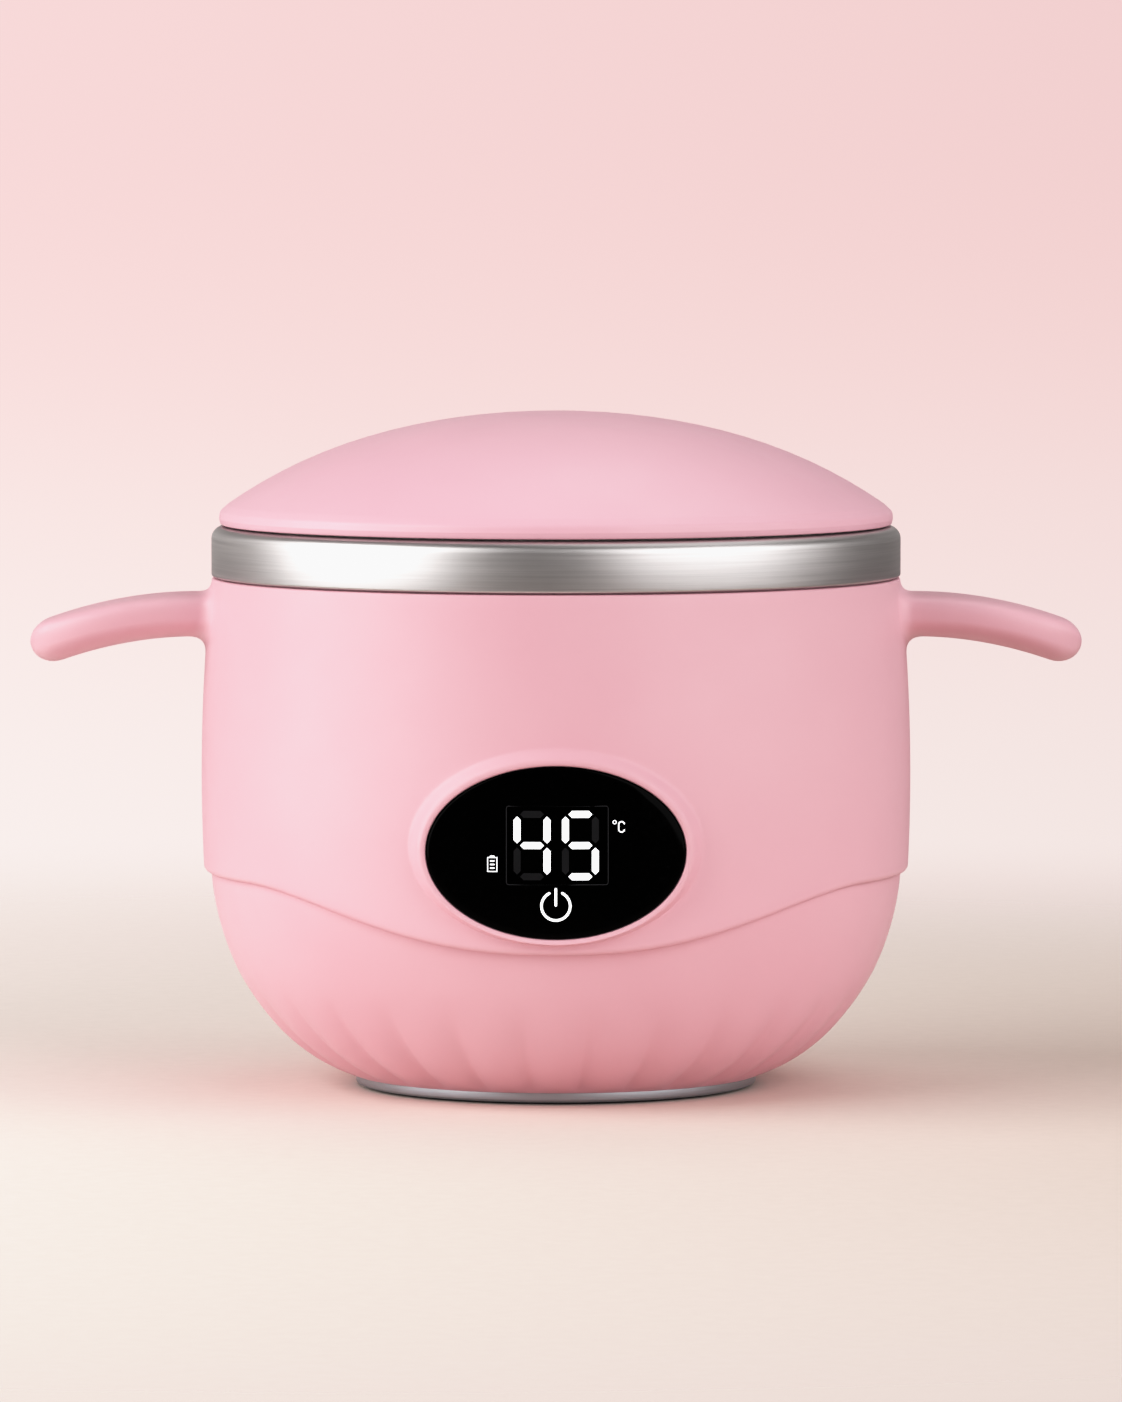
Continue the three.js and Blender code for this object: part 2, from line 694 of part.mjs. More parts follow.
function place(name, geometry, finish, position = [0, 0, 0]) {
  const mesh = new THREE.Mesh(weld(geometry), new THREE.MeshStandardMaterial(FINISHES[finish]));
  mesh.name = name;
  mesh.position.set(...position);
  object.add(mesh);
}

place('upper_housing', upperHousing(), 'pink');
place('lower_housing', lowerHousing(), 'pinkLower');
place('base_plate', basePlate(), 'steel');
place('foot_pad', footPad(), 'darkRubber');
baseScrewSpots.forEach(([x, y], i) => {
  place(`base_screw_${i + 1}`, screw(2.7, 1.1, 1.3, 4.2), 'steel', [x, y, 2.1]);
});

place('inner_bowl', innerBowl(), 'steel');
place('bowl_gasket', bowlGasket(), 'silicone');
place('lid_cover', lidCover(), 'pinkLid');
place('lid_liner', lidLiner(), 'liner');
place('lid_seal', lidSeal(), 'silicone');

place('inner_sleeve', innerSleeve(), 'liner');
place('insulation_jacket', insulationJacket(), 'felt');
place('heating_plate', heatingPlate(), 'aluminium');
const plateSeal = turned([[35.8, 37.6], [37, 37.6], [37, 40.2], [35.8, 40.2]], HIDDEN_SEGMENTS);
place('plate_seal', plateSeal, 'silicone');
place('heater_film', heaterFilm(), 'film');
place('heater_clamp', heaterClamp(), 'steel');
plateScrewSpots.forEach(([x, y], i) => {
  place(`plate_screw_${i + 1}`, screw(2.8, 1.2, 1.3, 3.6), 'steel', [x, y, 35.8]);
});
place('sensor_bracket', sensorBracket(), 'black');
place('sensor_probe', sensorProbe(), 'steel');
place('sensor_spring', sensorSpring(), 'steel');
const fuse = new THREE.CylinderGeometry(1.6, 1.6, 9, SMALL_SEGMENTS).rotateZ(Math.PI / 2);
place('thermal_fuse', fuse, 'liner', [0, -20, 34.2]);

place('display_lens', ovalPlate(LENS_HALF_W, LENS_HALF_H, LENS_FRONT_Y, LENS_THICKNESS), 'lens');
place('lens_gasket', lensGasket(), 'darkRubber');
place('display_board', block([-18, 18], [-57.6, -56.6], [36.5, 59]), 'circuit');
place('digit_module', block([-9.5, 9.5], [-62, -57.9], [41.5, 56.2]), 'digits');
place('battery_icon_led', block([-12.5, -10], [-61.2, -57.9], [43.4, 47]), 'led');
place('unit_icon_led', block([10, 12.4], [-61.2, -57.9], [50.2, 53]), 'led');
place('touch_spring', touchSpring(), 'steel');

CELL_YS.forEach((y, i) => {
  place(`battery_cell_${i + 1}`, cellGeometry(), 'cell', [0, y, CELL_Z]);
});
place('battery_holder', batteryHolder(), 'black');
place('main_board', mainBoard(), 'circuit');
const onBoard = BOARD_TOP_Z + GAP;
place('controller_chip', block([-12.5, -3.5], [23.5, 32.5], [onBoard, onBoard + 1.2]), 'chip');
place('charger_chip', block([5, 11], [32, 38], [onBoard, onBoard + 1]), 'chip');
place('power_inductor', block([-24, -16], [25, 33], [onBoard, onBoard + 3]), 'chip');
place('buzzer', rod(4.5, onBoard, onBoard + 3.2, 20, 29, 16), 'black');
boardScrewSpots.forEach(([x, y], i) => {
  const headUp = screw(2.6, 1.1, 1.2, 7).rotateX(Math.PI);
  place(`board_screw_${i + 1}`, headUp, 'steel', [x, y, BOARD_TOP_Z + GAP]);
});

place('usb_socket', usbSocket(), 'steel');
place('port_board', block([-9, 9], [54.4, 60.2], [PORT_Z - 2, PORT_Z - 0.95]), 'circuit');
place('port_cover', portCover(), 'pinkSilicone');

const wire = polygon(0.7, 6);
place(
  'battery_lead',
  sweep([[33.7, -7, 19], [37.5, -3, 25], [37, 6, 30], [31, 12, 32.5], [27, 12.6, 30.5]], wire, 12),
  'wire',
);
place(
  'heater_lead',
  sweep([[17.6, 30.4, 36.2], [17, 33.5, 34.6], [14.5, 31.5, 32.5], [14, 29, 31.6]], wire, 8),
  'wire',
);
place(
  'port_lead',
  sweep([[5, 54.1, 43], [5, 52.8, 38], [5, 49.5, 32], [5, 45.2, 29.8]], wire, 8),
  'wire',
);
const ribbon = new THREE.Shape();
ribbon.moveTo(-3, -0.25).lineTo(3, -0.25).lineTo(3, 0.25).lineTo(-3, 0.25).closePath();
const ribbonRoute = [
  [12, -57.1, 36],
  [12, -54, 31],
  [12, -45, 28.4],
  [12, -20, 28],
  [12, 6, 28.2],
  [12, 13.2, 29.4],
];
place('display_ribbon', sweep(ribbonRoute, ribbon, 14), 'ribbon');

export default object;
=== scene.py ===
"""Looks of a cordless yogurt maker: a heated bowl with ear handles, a steel inner bowl and a domed lid.

Lengths are millimetres until make_mesh(), which writes metres. +Z is up, the display faces -Y.
"""

import math

import bpy
import numpy as np
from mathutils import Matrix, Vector


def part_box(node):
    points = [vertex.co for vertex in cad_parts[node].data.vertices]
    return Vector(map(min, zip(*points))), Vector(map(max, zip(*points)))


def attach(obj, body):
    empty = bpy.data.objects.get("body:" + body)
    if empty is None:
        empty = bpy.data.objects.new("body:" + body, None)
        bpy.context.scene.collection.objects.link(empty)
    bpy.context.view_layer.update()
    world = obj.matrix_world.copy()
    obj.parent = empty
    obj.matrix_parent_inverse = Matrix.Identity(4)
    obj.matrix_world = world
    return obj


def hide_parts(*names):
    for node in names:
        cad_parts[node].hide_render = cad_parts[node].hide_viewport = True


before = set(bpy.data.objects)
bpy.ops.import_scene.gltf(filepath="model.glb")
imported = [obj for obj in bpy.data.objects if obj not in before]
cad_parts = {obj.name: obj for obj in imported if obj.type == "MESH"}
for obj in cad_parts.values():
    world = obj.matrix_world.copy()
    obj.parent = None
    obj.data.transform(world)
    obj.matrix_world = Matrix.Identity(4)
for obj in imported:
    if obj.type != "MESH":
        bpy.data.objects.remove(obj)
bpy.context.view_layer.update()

MM = 0.001
TURN = 2 * math.pi
FRONT = -math.pi / 2


def box_mm(node):
    low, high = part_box(node)
    return np.array(low) / MM, np.array(high) / MM


# ---- driving dimensions, from the frame
HOUSING_LOW, HOUSING_HIGH = box_mm("upper_housing")
BOWL_LOW, BOWL_HIGH = box_mm("inner_bowl")
LID_LOW, LID_HIGH = box_mm("lid_cover")
LENS_LOW, LENS_HIGH = box_mm("display_lens")
PLATE_LOW, PLATE_HIGH = box_mm("base_plate")
FOOT_HIGH = box_mm("foot_pad")[1]
FLAP_LOW, FLAP_HIGH = box_mm("port_cover")

BODY_R = 64.05
BODY_WAIST_Z = 56.0
BODY_BOW = 0.0015
BODY_TOP_Z = BOWL_LOW[2] + 50.9
WALL = 2.2
EDGE = 0.4  # rounding of the housing's top edge
LIP = 1.1  # rounding of the housing's lower edge

SEAM_LOW_Z = HOUSING_LOW[2]
SEAM_HIGH_Z = 39.0
SEAM_REACH = math.radians(60)
SEAM_EASE = 1.3
LAP = 1.2

LOWER_R = 62.36
LOWER_WIDEST_Z = 40.25
LOWER_DEPTH = 41.3
LOWER_POWER_Z = 1.72
LOWER_POWER_R = 3.891
LOWER_WALL = 2.0
LOWER_BOTTOM_Z = 2.2
FLUTES = 28
FLUTE_FOOT = 1.4  # the flutes fade out over this height above the ring
FLUTE_DEPTH = 1.7
FLUTE_BACK = 1.2  # how far the inner wall stands back behind the flutes
FLUTE_TOP_Z = 20.0
FLUTE_RUN = 15.0

NECK_R = 60.6
NECK_BORE_R = 58.8
NECK_TOP_Z = HOUSING_HIGH[2]

BOWL_R = BOWL_HIGH[0]
BOWL_TOP_Z = BOWL_HIGH[2]
BOWL_BASE_Z = BOWL_LOW[2]
BAND_BOTTOM_Z = BODY_TOP_Z + 0.3
BOWL_CORNER = 12.0
BOWL_FLAT_R = 41.0
BOWL_MOUTH_R = 57.3

LID_R = LID_HIGH[0]
LID_TOP_Z = LID_HIGH[2]
LID_BOTTOM_Z = LID_LOW[2]
LID_DROP = 17.3

HANDLE_ROOT_X = 62.0
HANDLE_LEVEL_X = 65.0  # the handle's middle line is level up to here, then droops
HANDLE_Z = 85.15
HANDLE_SAG = 145.0
HANDLE_NOSE_X = 90.4
HANDLE_NOSE_LENGTH = 4.6
HANDLE_HALF_DEPTH = 11.0
HANDLE_HALF_HEIGHT = 3.95
HANDLE_SQUARENESS_TOP = 4.5
HANDLE_SQUARENESS_BOTTOM = 2.0
HANDLE_TAPER_X = 76.0
HANDLE_END_X = 94.8

LENS_Z = (LENS_LOW[2] + LENS_HIGH[2]) / 2
LENS_HALF_W = LENS_HIGH[0]
LENS_HALF_H = (LENS_HIGH[2] - LENS_LOW[2]) / 2
LENS_FRONT_Y = LENS_LOW[1]
LENS_THICKNESS = 2.0
LENS_BEND_R = 82.0
RIM_FRONT_Y = LENS_FRONT_Y - 0.3

PORT_Z = (FLAP_LOW[2] + FLAP_HIGH[2]) / 2
PORT_SEAT_Y = 62.5
PORT_SQUARENESS = 4.5
FLAP_HALF_W = 7.5
FLAP_HALF_H = 5.0
FLAP_FACE_Y = 64.2


# ---- outer curves
def upper_radius(z):
    return BODY_R - BODY_BOW * (z - BODY_WAIST_Z) ** 2


def lower_radius(z):
    depth = np.maximum(0.0, (LOWER_WIDEST_Z - z) / LOWER_DEPTH)
    return LOWER_R * (1 - depth**LOWER_POWER_Z) ** (1 / LOWER_POWER_R)


def seam_z(angle):
    """Height of the wavy seam between the housings. The back mirrors the front."""
    from_front = np.abs(np.arctan2(np.cos(angle), -np.sin(angle)))
    off = np.minimum(np.minimum(from_front, math.pi - from_front), SEAM_REACH)
    rise = ((1 - np.cos(math.pi * off / SEAM_REACH)) / 2) ** SEAM_EASE
    return SEAM_LOW_Z + (SEAM_HIGH_Z - SEAM_LOW_Z) * rise


def lid_z(r):
    t = r / 60.0
    return LID_TOP_Z - LID_DROP * (0.764 * t**2 + 0.236 * t**4)


def lens_bend(x):
    return x * x / (2 * LENS_BEND_R)


# ---- mesh helpers
def make_mesh(name, points, faces, material, sharp_degrees=35):
    mesh = bpy.data.meshes.new(name)
    mesh.from_pydata([tuple(p) for p in np.asarray(points) * MM], [], faces)
    mesh.validate()
    mesh.materials.append(material)
    mesh.shade_smooth()
    mesh.set_sharp_from_angle(angle=math.radians(sharp_degrees))
    piece = bpy.data.objects.new(name, mesh)
    bpy.context.scene.collection.objects.link(piece)
    return piece


def enrol(piece, body, slot, *nodes):
    """Puts a piece on its body and hides the CAD nodes that it stands for."""
    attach(piece, body)
    if nodes:
        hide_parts(*nodes)
    return piece


def points_from(*axes):
    """Rows of points from one array or number per axis."""
    return np.stack(np.broadcast_arrays(*axes), axis=1)


def between(start, end, share):
    return start + (end - start) * share


def ring_faces(rings, count, closed=False):
    """Quads between consecutive rings of count points; ring k starts at k * count."""
    faces = []
    last = rings if closed else rings - 1
    for i in range(last):
        here, above = i * count, ((i + 1) % rings) * count
        for j in range(count):
            k = (j + 1) % count
            faces.append((here + j, here + k, above + k, above + j))
    return faces


def fan(ring, tip, flip=False):
    faces = []
    for j, here in enumerate(ring):
        beyond = ring[(j + 1) % len(ring)]
        faces.append((beyond, here, tip) if flip else (here, beyond, tip))
    return faces


def ring_stack(name, rings, material, sharp_degrees=35):
    """Closed piece from a list of equal rings, each end drawn in to a point."""
    count = len(rings[0])
    points = [p for ring in rings for p in ring]
    faces = ring_faces(len(rings), count)
    for row, first in ((0, True), (len(rings) - 1, False)):
        points.append(np.mean(rings[row], axis=0))
        faces += fan(list(range(row * count, (row + 1) * count)), len(points) - 1, flip=first)
    return make_mesh(name, points, faces, material, sharp_degrees)


def rounded(corners, closed, steps=4):
    """Outline with a round of its own radius at each corner given as (r, z, radius)."""
    outline = []
    count = len(corners)
    for i, corner in enumerate(corners):
        here = np.array(corner[:2], float)
        radius = corner[2] if len(corner) > 2 else 0
        at_end = not closed and i in (0, count - 1)
        if radius == 0 or at_end:
            outline.append(here)
            continue
        back = np.array(corners[i - 1][:2], float) - here
        ahead = np.array(corners[(i + 1) % count][:2], float) - here
        back_length, ahead_length = np.linalg.norm(back), np.linalg.norm(ahead)
        back, ahead = back / back_length, ahead / ahead_length
        half = math.acos(max(-1, min(1, float(back @ ahead)))) / 2
        reach = min(radius / math.tan(half), 0.48 * back_length, 0.48 * ahead_length)
        start, end = here + back * reach, here + ahead * reach
        for t in np.linspace(0, 1, steps + 1):
            from_start, from_here, from_end = (1 - t) ** 2, 2 * t * (1 - t) * math.sin(half), t * t
            spot = from_start * start + from_here * here + from_end * end
            outline.append(spot / (from_start + from_here + from_end))
    return outline


def lathe(name, corners, material, segments=192, steps=4, sharp_degrees=35):
    """Turned piece. corners run counter-clockwise as (r, z, rounding), from axis to axis or in a loop."""
    on_axis = corners[0][0] == 0
    outline = rounded(corners, closed=not on_axis, steps=steps)
    angles = np.arange(segments) * TURN / segments
    inner = outline[1:-1] if on_axis else outline
    points = [(r * math.cos(a), r * math.sin(a), z) for r, z in inner for a in angles]
    faces = ring_faces(len(inner), segments, closed=not on_axis)
    if on_axis:
        points.append((0, 0, outline[0][1]))
        faces += fan(list(range(segments)), len(points) - 1, flip=True)
        points.append((0, 0, outline[-1][1]))
        start = (len(inner) - 1) * segments
        faces += fan(list(range(start, start + segments)), len(points) - 1)
    return make_mesh(name, points, faces, material, sharp_degrees)


def arc(centre_r, centre_z, radius, start, end, steps):
    """Points of an arc between two angles in degrees, ends included."""
    angles = np.radians(np.linspace(start, end, steps + 1))
    return [(centre_r + radius * math.cos(a), centre_z + radius * math.sin(a)) for a in angles]


def oval(directions, half_w, half_h, centre_z, squareness=2.0):
    """Where rays in the given directions, from (0, centre_z), meet a superellipse. Returns x and z."""
    d = np.asarray(directions)
    size = (np.abs(d[:, 0] / half_w) ** squareness + np.abs(d[:, 1] / half_h) ** squareness)
    reach = size ** (-1 / squareness)
    return d[:, 0] * reach, centre_z + d[:, 1] * reach


def even_directions(count, half_w, half_h):
    angles = np.arange(count) * TURN / count
    return points_from(half_w * np.cos(angles), half_h * np.sin(angles))


# ---- node helpers
class Nodes:
    """Short way to build the node tree of a new material, or of the world if it is the owner."""

    def __init__(self, name, owner=None):
        self.material = owner or bpy.data.materials.new(name)
        self.material.use_nodes = True
        self.tree = self.material.node_tree
        self.shader = self.tree.nodes.get("Principled BSDF")

    def add(self, kind, inputs=None, **settings):
        node = self.tree.nodes.new(kind)
        for key, value in settings.items():
            setattr(node, key, value)
        for key, value in (inputs or {}).items():
            self.feed(node.inputs[key], value)
        return node

    def feed(self, socket, value):
        if isinstance(value, bpy.types.NodeSocket):
            self.tree.links.new(value, socket)
        else:
            socket.default_value = value

    def place(self):
        return self.add("ShaderNodeTexCoord").outputs["Object"]

    def axis_distance(self, parts):
        """Distance from the Z axis, from separated X and Y."""
        squares = [self.math("MULTIPLY", parts[axis], parts[axis]) for axis in "XY"]
        return self.math("SQRT", self.math("ADD", *squares))

    def noise(self, scale, vector=None, detail=3.0, roughness=0.5):
        source = vector if vector is not None else self.place()
        inputs = {"Vector": source, "Scale": scale, "Detail": detail, "Roughness": roughness}
        return self.add("ShaderNodeTexNoise", inputs).outputs["Fac"]

    def math(self, operation, a, b=0.0):
        node = self.add("ShaderNodeMath", operation=operation)
        self.feed(node.inputs[0], a)
        self.feed(node.inputs[1], b)
        return node.outputs[0]

    def span(self, value, low, high, to_low=0.0, to_high=1.0):
        inputs = {"Value": value, "From Min": low, "From Max": high, "To Min": to_low, "To Max": to_high}
        return self.add("ShaderNodeMapRange", inputs).outputs["Result"]

    def mix(self, factor, a, b):
        node = self.add("ShaderNodeMix", data_type="RGBA")
        self.feed(node.inputs["Factor"], factor)
        self.feed(node.inputs["A"], a)
        self.feed(node.inputs["B"], b)
        return node.outputs["Result"]

    def bump(self, height, strength, distance):
        inputs = {"Height": height, "Strength": strength, "Distance": distance}
        self.feed(self.shader.inputs["Normal"], self.add("ShaderNodeBump", inputs).outputs["Normal"])

    def set(self, **inputs):
        for key, value in inputs.items():
            self.feed(self.shader.inputs[key.replace("_", " ")], value)


def rgb(red, green, blue):
    """Scene-linear colour from 0-255 display values."""
    def linear(value):
        value /= 255
        return value / 12.92 if value <= 0.04045 else ((value + 0.055) / 1.055) ** 2.4
    return (linear(red), linear(green), linear(blue), 1.0)


def scaled(colour, share):
    return tuple(share * c for c in colour[:3]) + (1.0,)


def round_axis(nodes, around, along, radius=62.0):
    """Object coordinates unrolled round Z: stretched round the axis and fine along it."""
    parts = nodes.add("ShaderNodeSeparateXYZ", {"Vector": nodes.place()}).outputs
    angle = nodes.math("ARCTAN2", parts["Y"], parts["X"])
    inputs = {
        "X": nodes.math("MULTIPLY", angle, radius * MM * around),
        "Y": nodes.math("MULTIPLY", parts["Z"], along),
        "Z": 0.0,
    }
    return nodes.add("ShaderNodeCombineXYZ", inputs).outputs["Vector"]


# ---- materials
def satin_plastic(name, colour, shade, roughness=0.42):
    """Soft satin moulding: fine spark-eroded grain, slow waviness and a slight tone shift."""
    n = Nodes(name)
    tone = n.noise(22.0, detail=2.0)
    n.set(Base_Color=n.mix(n.span(tone, 0.3, 0.7), colour, shade))
    grain = n.noise(2600.0, detail=2.0)
    rub = n.noise(140.0)
    n.set(Roughness=n.span(rub, 0.3, 0.7, roughness - 0.04, roughness + 0.05))
    height = n.math("ADD", n.math("MULTIPLY", grain, 0.6), n.math("MULTIPLY", rub, 0.5))
    n.bump(height, 0.16, 0.00012)
    n.set(Specular_IOR_Level=0.42)
    return n.material


def brushed_steel(name, colour, roughness=0.24, turned_face=False):
    """Steel with fine lines round the axis; turned_face draws them as rings on a flat face."""
    n = Nodes(name)
    if turned_face:
        parts = n.add("ShaderNodeSeparateXYZ", {"Vector": n.place()}).outputs
        ring = n.math("MULTIPLY", n.axis_distance(parts), 2600.0)
        along = n.add("ShaderNodeCombineXYZ", {"X": ring, "Y": 0.0, "Z": 0.0})
        lines = n.noise(1.0, vector=along.outputs["Vector"], roughness=0.7)
        coarse = lines
    else:
        lines = n.noise(1.0, vector=round_axis(n, 30.0, 5200.0), detail=4.0, roughness=0.75)
        coarse = n.noise(1.0, vector=round_axis(n, 22.0, 1500.0), detail=2.0)
    tone = n.math("ADD", n.math("MULTIPLY", lines, 0.6), n.math("MULTIPLY", coarse, 0.4))
    darker = scaled(colour, 0.8)
    n.set(Base_Color=n.mix(n.span(tone, 0.35, 0.65), darker, colour), Metallic=1.0)
    n.set(Roughness=n.span(lines, 0.3, 0.7, roughness - 0.04, roughness + 0.05))
    n.bump(lines, 0.15, 0.00003)
    n.set(Anisotropic=0.35)
    tangent = n.add("ShaderNodeTangent", direction_type="RADIAL", axis="Z")
    n.set(Tangent=tangent.outputs["Tangent"])
    return n.material


def silicone(name, colour, roughness=0.6):
    """Matte rubbery skin with a dusty fine bloom."""
    n = Nodes(name)
    bloom = n.noise(420.0, detail=4.0)
    paler = tuple(min(1.0, 1.18 * c + 0.01) for c in colour[:3]) + (1.0,)
    n.set(Base_Color=n.mix(n.span(bloom, 0.35, 0.75, 0.0, 0.6), colour, paler))
    n.set(Roughness=n.span(bloom, 0.3, 0.7, roughness - 0.06, roughness + 0.08))
    n.bump(n.noise(3000.0, detail=2.0), 0.2, 0.00008)
    return n.material


def smooth_plastic(name, colour, roughness=0.35):
    """Moulded plastic with faint flow marks."""
    n = Nodes(name)
    flow = n.noise(60.0)
    darker = scaled(colour, 0.9)
    n.set(Base_Color=n.mix(n.span(flow, 0.35, 0.65), darker, colour))
    n.set(Roughness=n.span(flow, 0.3, 0.7, roughness - 0.05, roughness + 0.06))
    n.bump(n.noise(1800.0, detail=2.0), 0.12, 0.00006)
    return n.material


def gloss_lens(name):
    """Polished black window with the faintest dust and waviness."""
    n = Nodes(name)
    dust = n.noise(900.0, detail=5.0, roughness=0.7)
    n.set(Base_Color=n.mix(n.span(dust, 0.55, 0.85, 0.0, 0.5), rgb(1, 1, 1), rgb(9, 8, 9)))
    n.set(Roughness=n.span(dust, 0.4, 0.8, 0.05, 0.11))
    n.bump(n.noise(35.0, detail=1.0), 0.05, 0.00005)
    n.set(Specular_IOR_Level=0.03)
    return n.material


def glow(name, colour, strength, variation=0.12):
    """Lit diffuser, a touch uneven as a real light guide is; given a dark colour it paints a faint glow on
    parts that are not lit.
    """
    n = Nodes(name)
    patch = n.noise(260.0, detail=1.0)
    dimmer = scaled(colour, 1 - variation)
    shade = n.mix(n.span(patch, 0.3, 0.7), dimmer, colour)
    n.set(Base_Color=shade, Emission_Color=shade, Roughness=0.5)
    n.set(Emission_Strength=strength)
    n.set(Specular_IOR_Level=0.1)
    return n.material


def circuit_board(name):
    """Green solder mask over a faint lattice of tracks."""
    n = Nodes(name)
    inputs = {"Vector": n.place(), "Scale": 420.0, "Mortar Size": 0.06, "Bias": 0.0}
    tracks = n.add("ShaderNodeTexBrick", inputs).outputs["Fac"]
    n.set(Base_Color=n.mix(tracks, rgb(24, 92, 48), rgb(52, 134, 78)))
    n.set(Roughness=n.span(n.noise(300.0), 0.3, 0.7, 0.3, 0.45))
    n.bump(tracks, 0.3, 0.00005)
    return n.material


def felt(name, colour):
    """Pressed fibre mat."""
    n = Nodes(name)
    fibre = n.noise(1400.0, detail=6.0, roughness=0.8)
    darker = scaled(colour, 0.7)
    n.set(Base_Color=n.mix(n.span(fibre, 0.35, 0.65), darker, colour), Roughness=0.95)
    n.bump(fibre, 0.6, 0.0004)
    n.set(Sheen_Weight=0.3)
    return n.material


def heater_foil(name):
    """Amber film with the heater's etched rings showing through."""
    n = Nodes(name)
    inputs = {"Vector": n.place(), "Scale": 520.0, "Distortion": 0.0}
    rings = n.add("ShaderNodeTexWave", inputs, wave_type="RINGS", rings_direction="Z").outputs["Fac"]
    n.set(Base_Color=n.mix(n.span(rings, 0.4, 0.6), rgb(196, 122, 48), rgb(120, 70, 34)))
    n.set(Roughness=n.span(rings, 0.0, 1.0, 0.25, 0.4))
    n.bump(rings, 0.3, 0.00005)
    return n.material


def stripes(name, first, second, scale):
    """Two-tone bands across X, as on a flat cable."""
    n = Nodes(name)
    inputs = {"Vector": n.place(), "Scale": scale, "Distortion": 0.0}
    bands = n.add("ShaderNodeTexWave", inputs, wave_type="BANDS", bands_direction="X").outputs["Fac"]
    n.set(Base_Color=n.mix(n.span(bands, 0.4, 0.6), first, second), Roughness=0.45)
    n.bump(bands, 0.3, 0.0001)
    return n.material


PINK = satin_plastic("satin_pink", rgb(228, 181, 191), rgb(225, 175, 186))
PINK_LID = satin_plastic("satin_pink_lid", rgb(232, 185, 197), rgb(229, 180, 193), 0.4)
STEEL = brushed_steel("brushed_steel", rgb(206, 203, 203), 0.38)
BASE_STEEL = brushed_steel("base_ring_steel", rgb(176, 184, 190), 0.38)
STEEL_FACE = brushed_steel("turned_steel", rgb(196, 196, 198), 0.26, turned_face=True)
SCREW_STEEL = brushed_steel("zinc_steel", rgb(176, 174, 170), 0.3)
ALUMINIUM = brushed_steel("turned_aluminium", rgb(206, 207, 209), 0.32, turned_face=True)
SEAL = silicone("milky_silicone", rgb(228, 223, 216))
FLAP_SKIN = silicone("pink_silicone", rgb(226, 152, 168), 0.55)
FOOT_SKIN = silicone("dark_silicone", rgb(52, 47, 48), 0.7)
LINER = smooth_plastic("liner_plastic", rgb(240, 234, 229))
LENS = gloss_lens("display_window")
LIT = glow("lit_segment", (0.95, 0.97, 1.0, 1.0), 1.0, 0.05)
# The unlit segments and the window outline get a faint painted glow, though they are not lit.
UNLIT = glow("unlit_segment", (0.008, 0.008, 0.009, 1.0), 0.5)
OUTLINE = glow("window_outline", (0.022, 0.022, 0.024, 1.0), 0.5)
BOARD = circuit_board("circuit_board")
CHIP = smooth_plastic("epoxy_chip", rgb(34, 34, 37), 0.5)
BLACK = smooth_plastic("black_moulding", rgb(44, 44, 48), 0.5)
CELL = smooth_plastic("cell_sleeve", rgb(58, 120, 176), 0.25)
FELT = felt("fibre_mat", rgb(222, 217, 208))
FOIL = heater_foil("heater_foil")
WIRE = silicone("wire_skin", rgb(176, 42, 34), 0.45)
RIBBON = stripes("ribbon_cable", rgb(206, 201, 190), rgb(150, 147, 140), 900.0)


# ---- upper housing
COLUMNS = 360
SIDE_ROWS = 52
BOSS_COLUMNS = 29  # half width of the opening left for the display's boss, in columns
HANDLE_COLUMNS = 14
PORT_COLUMNS = 10


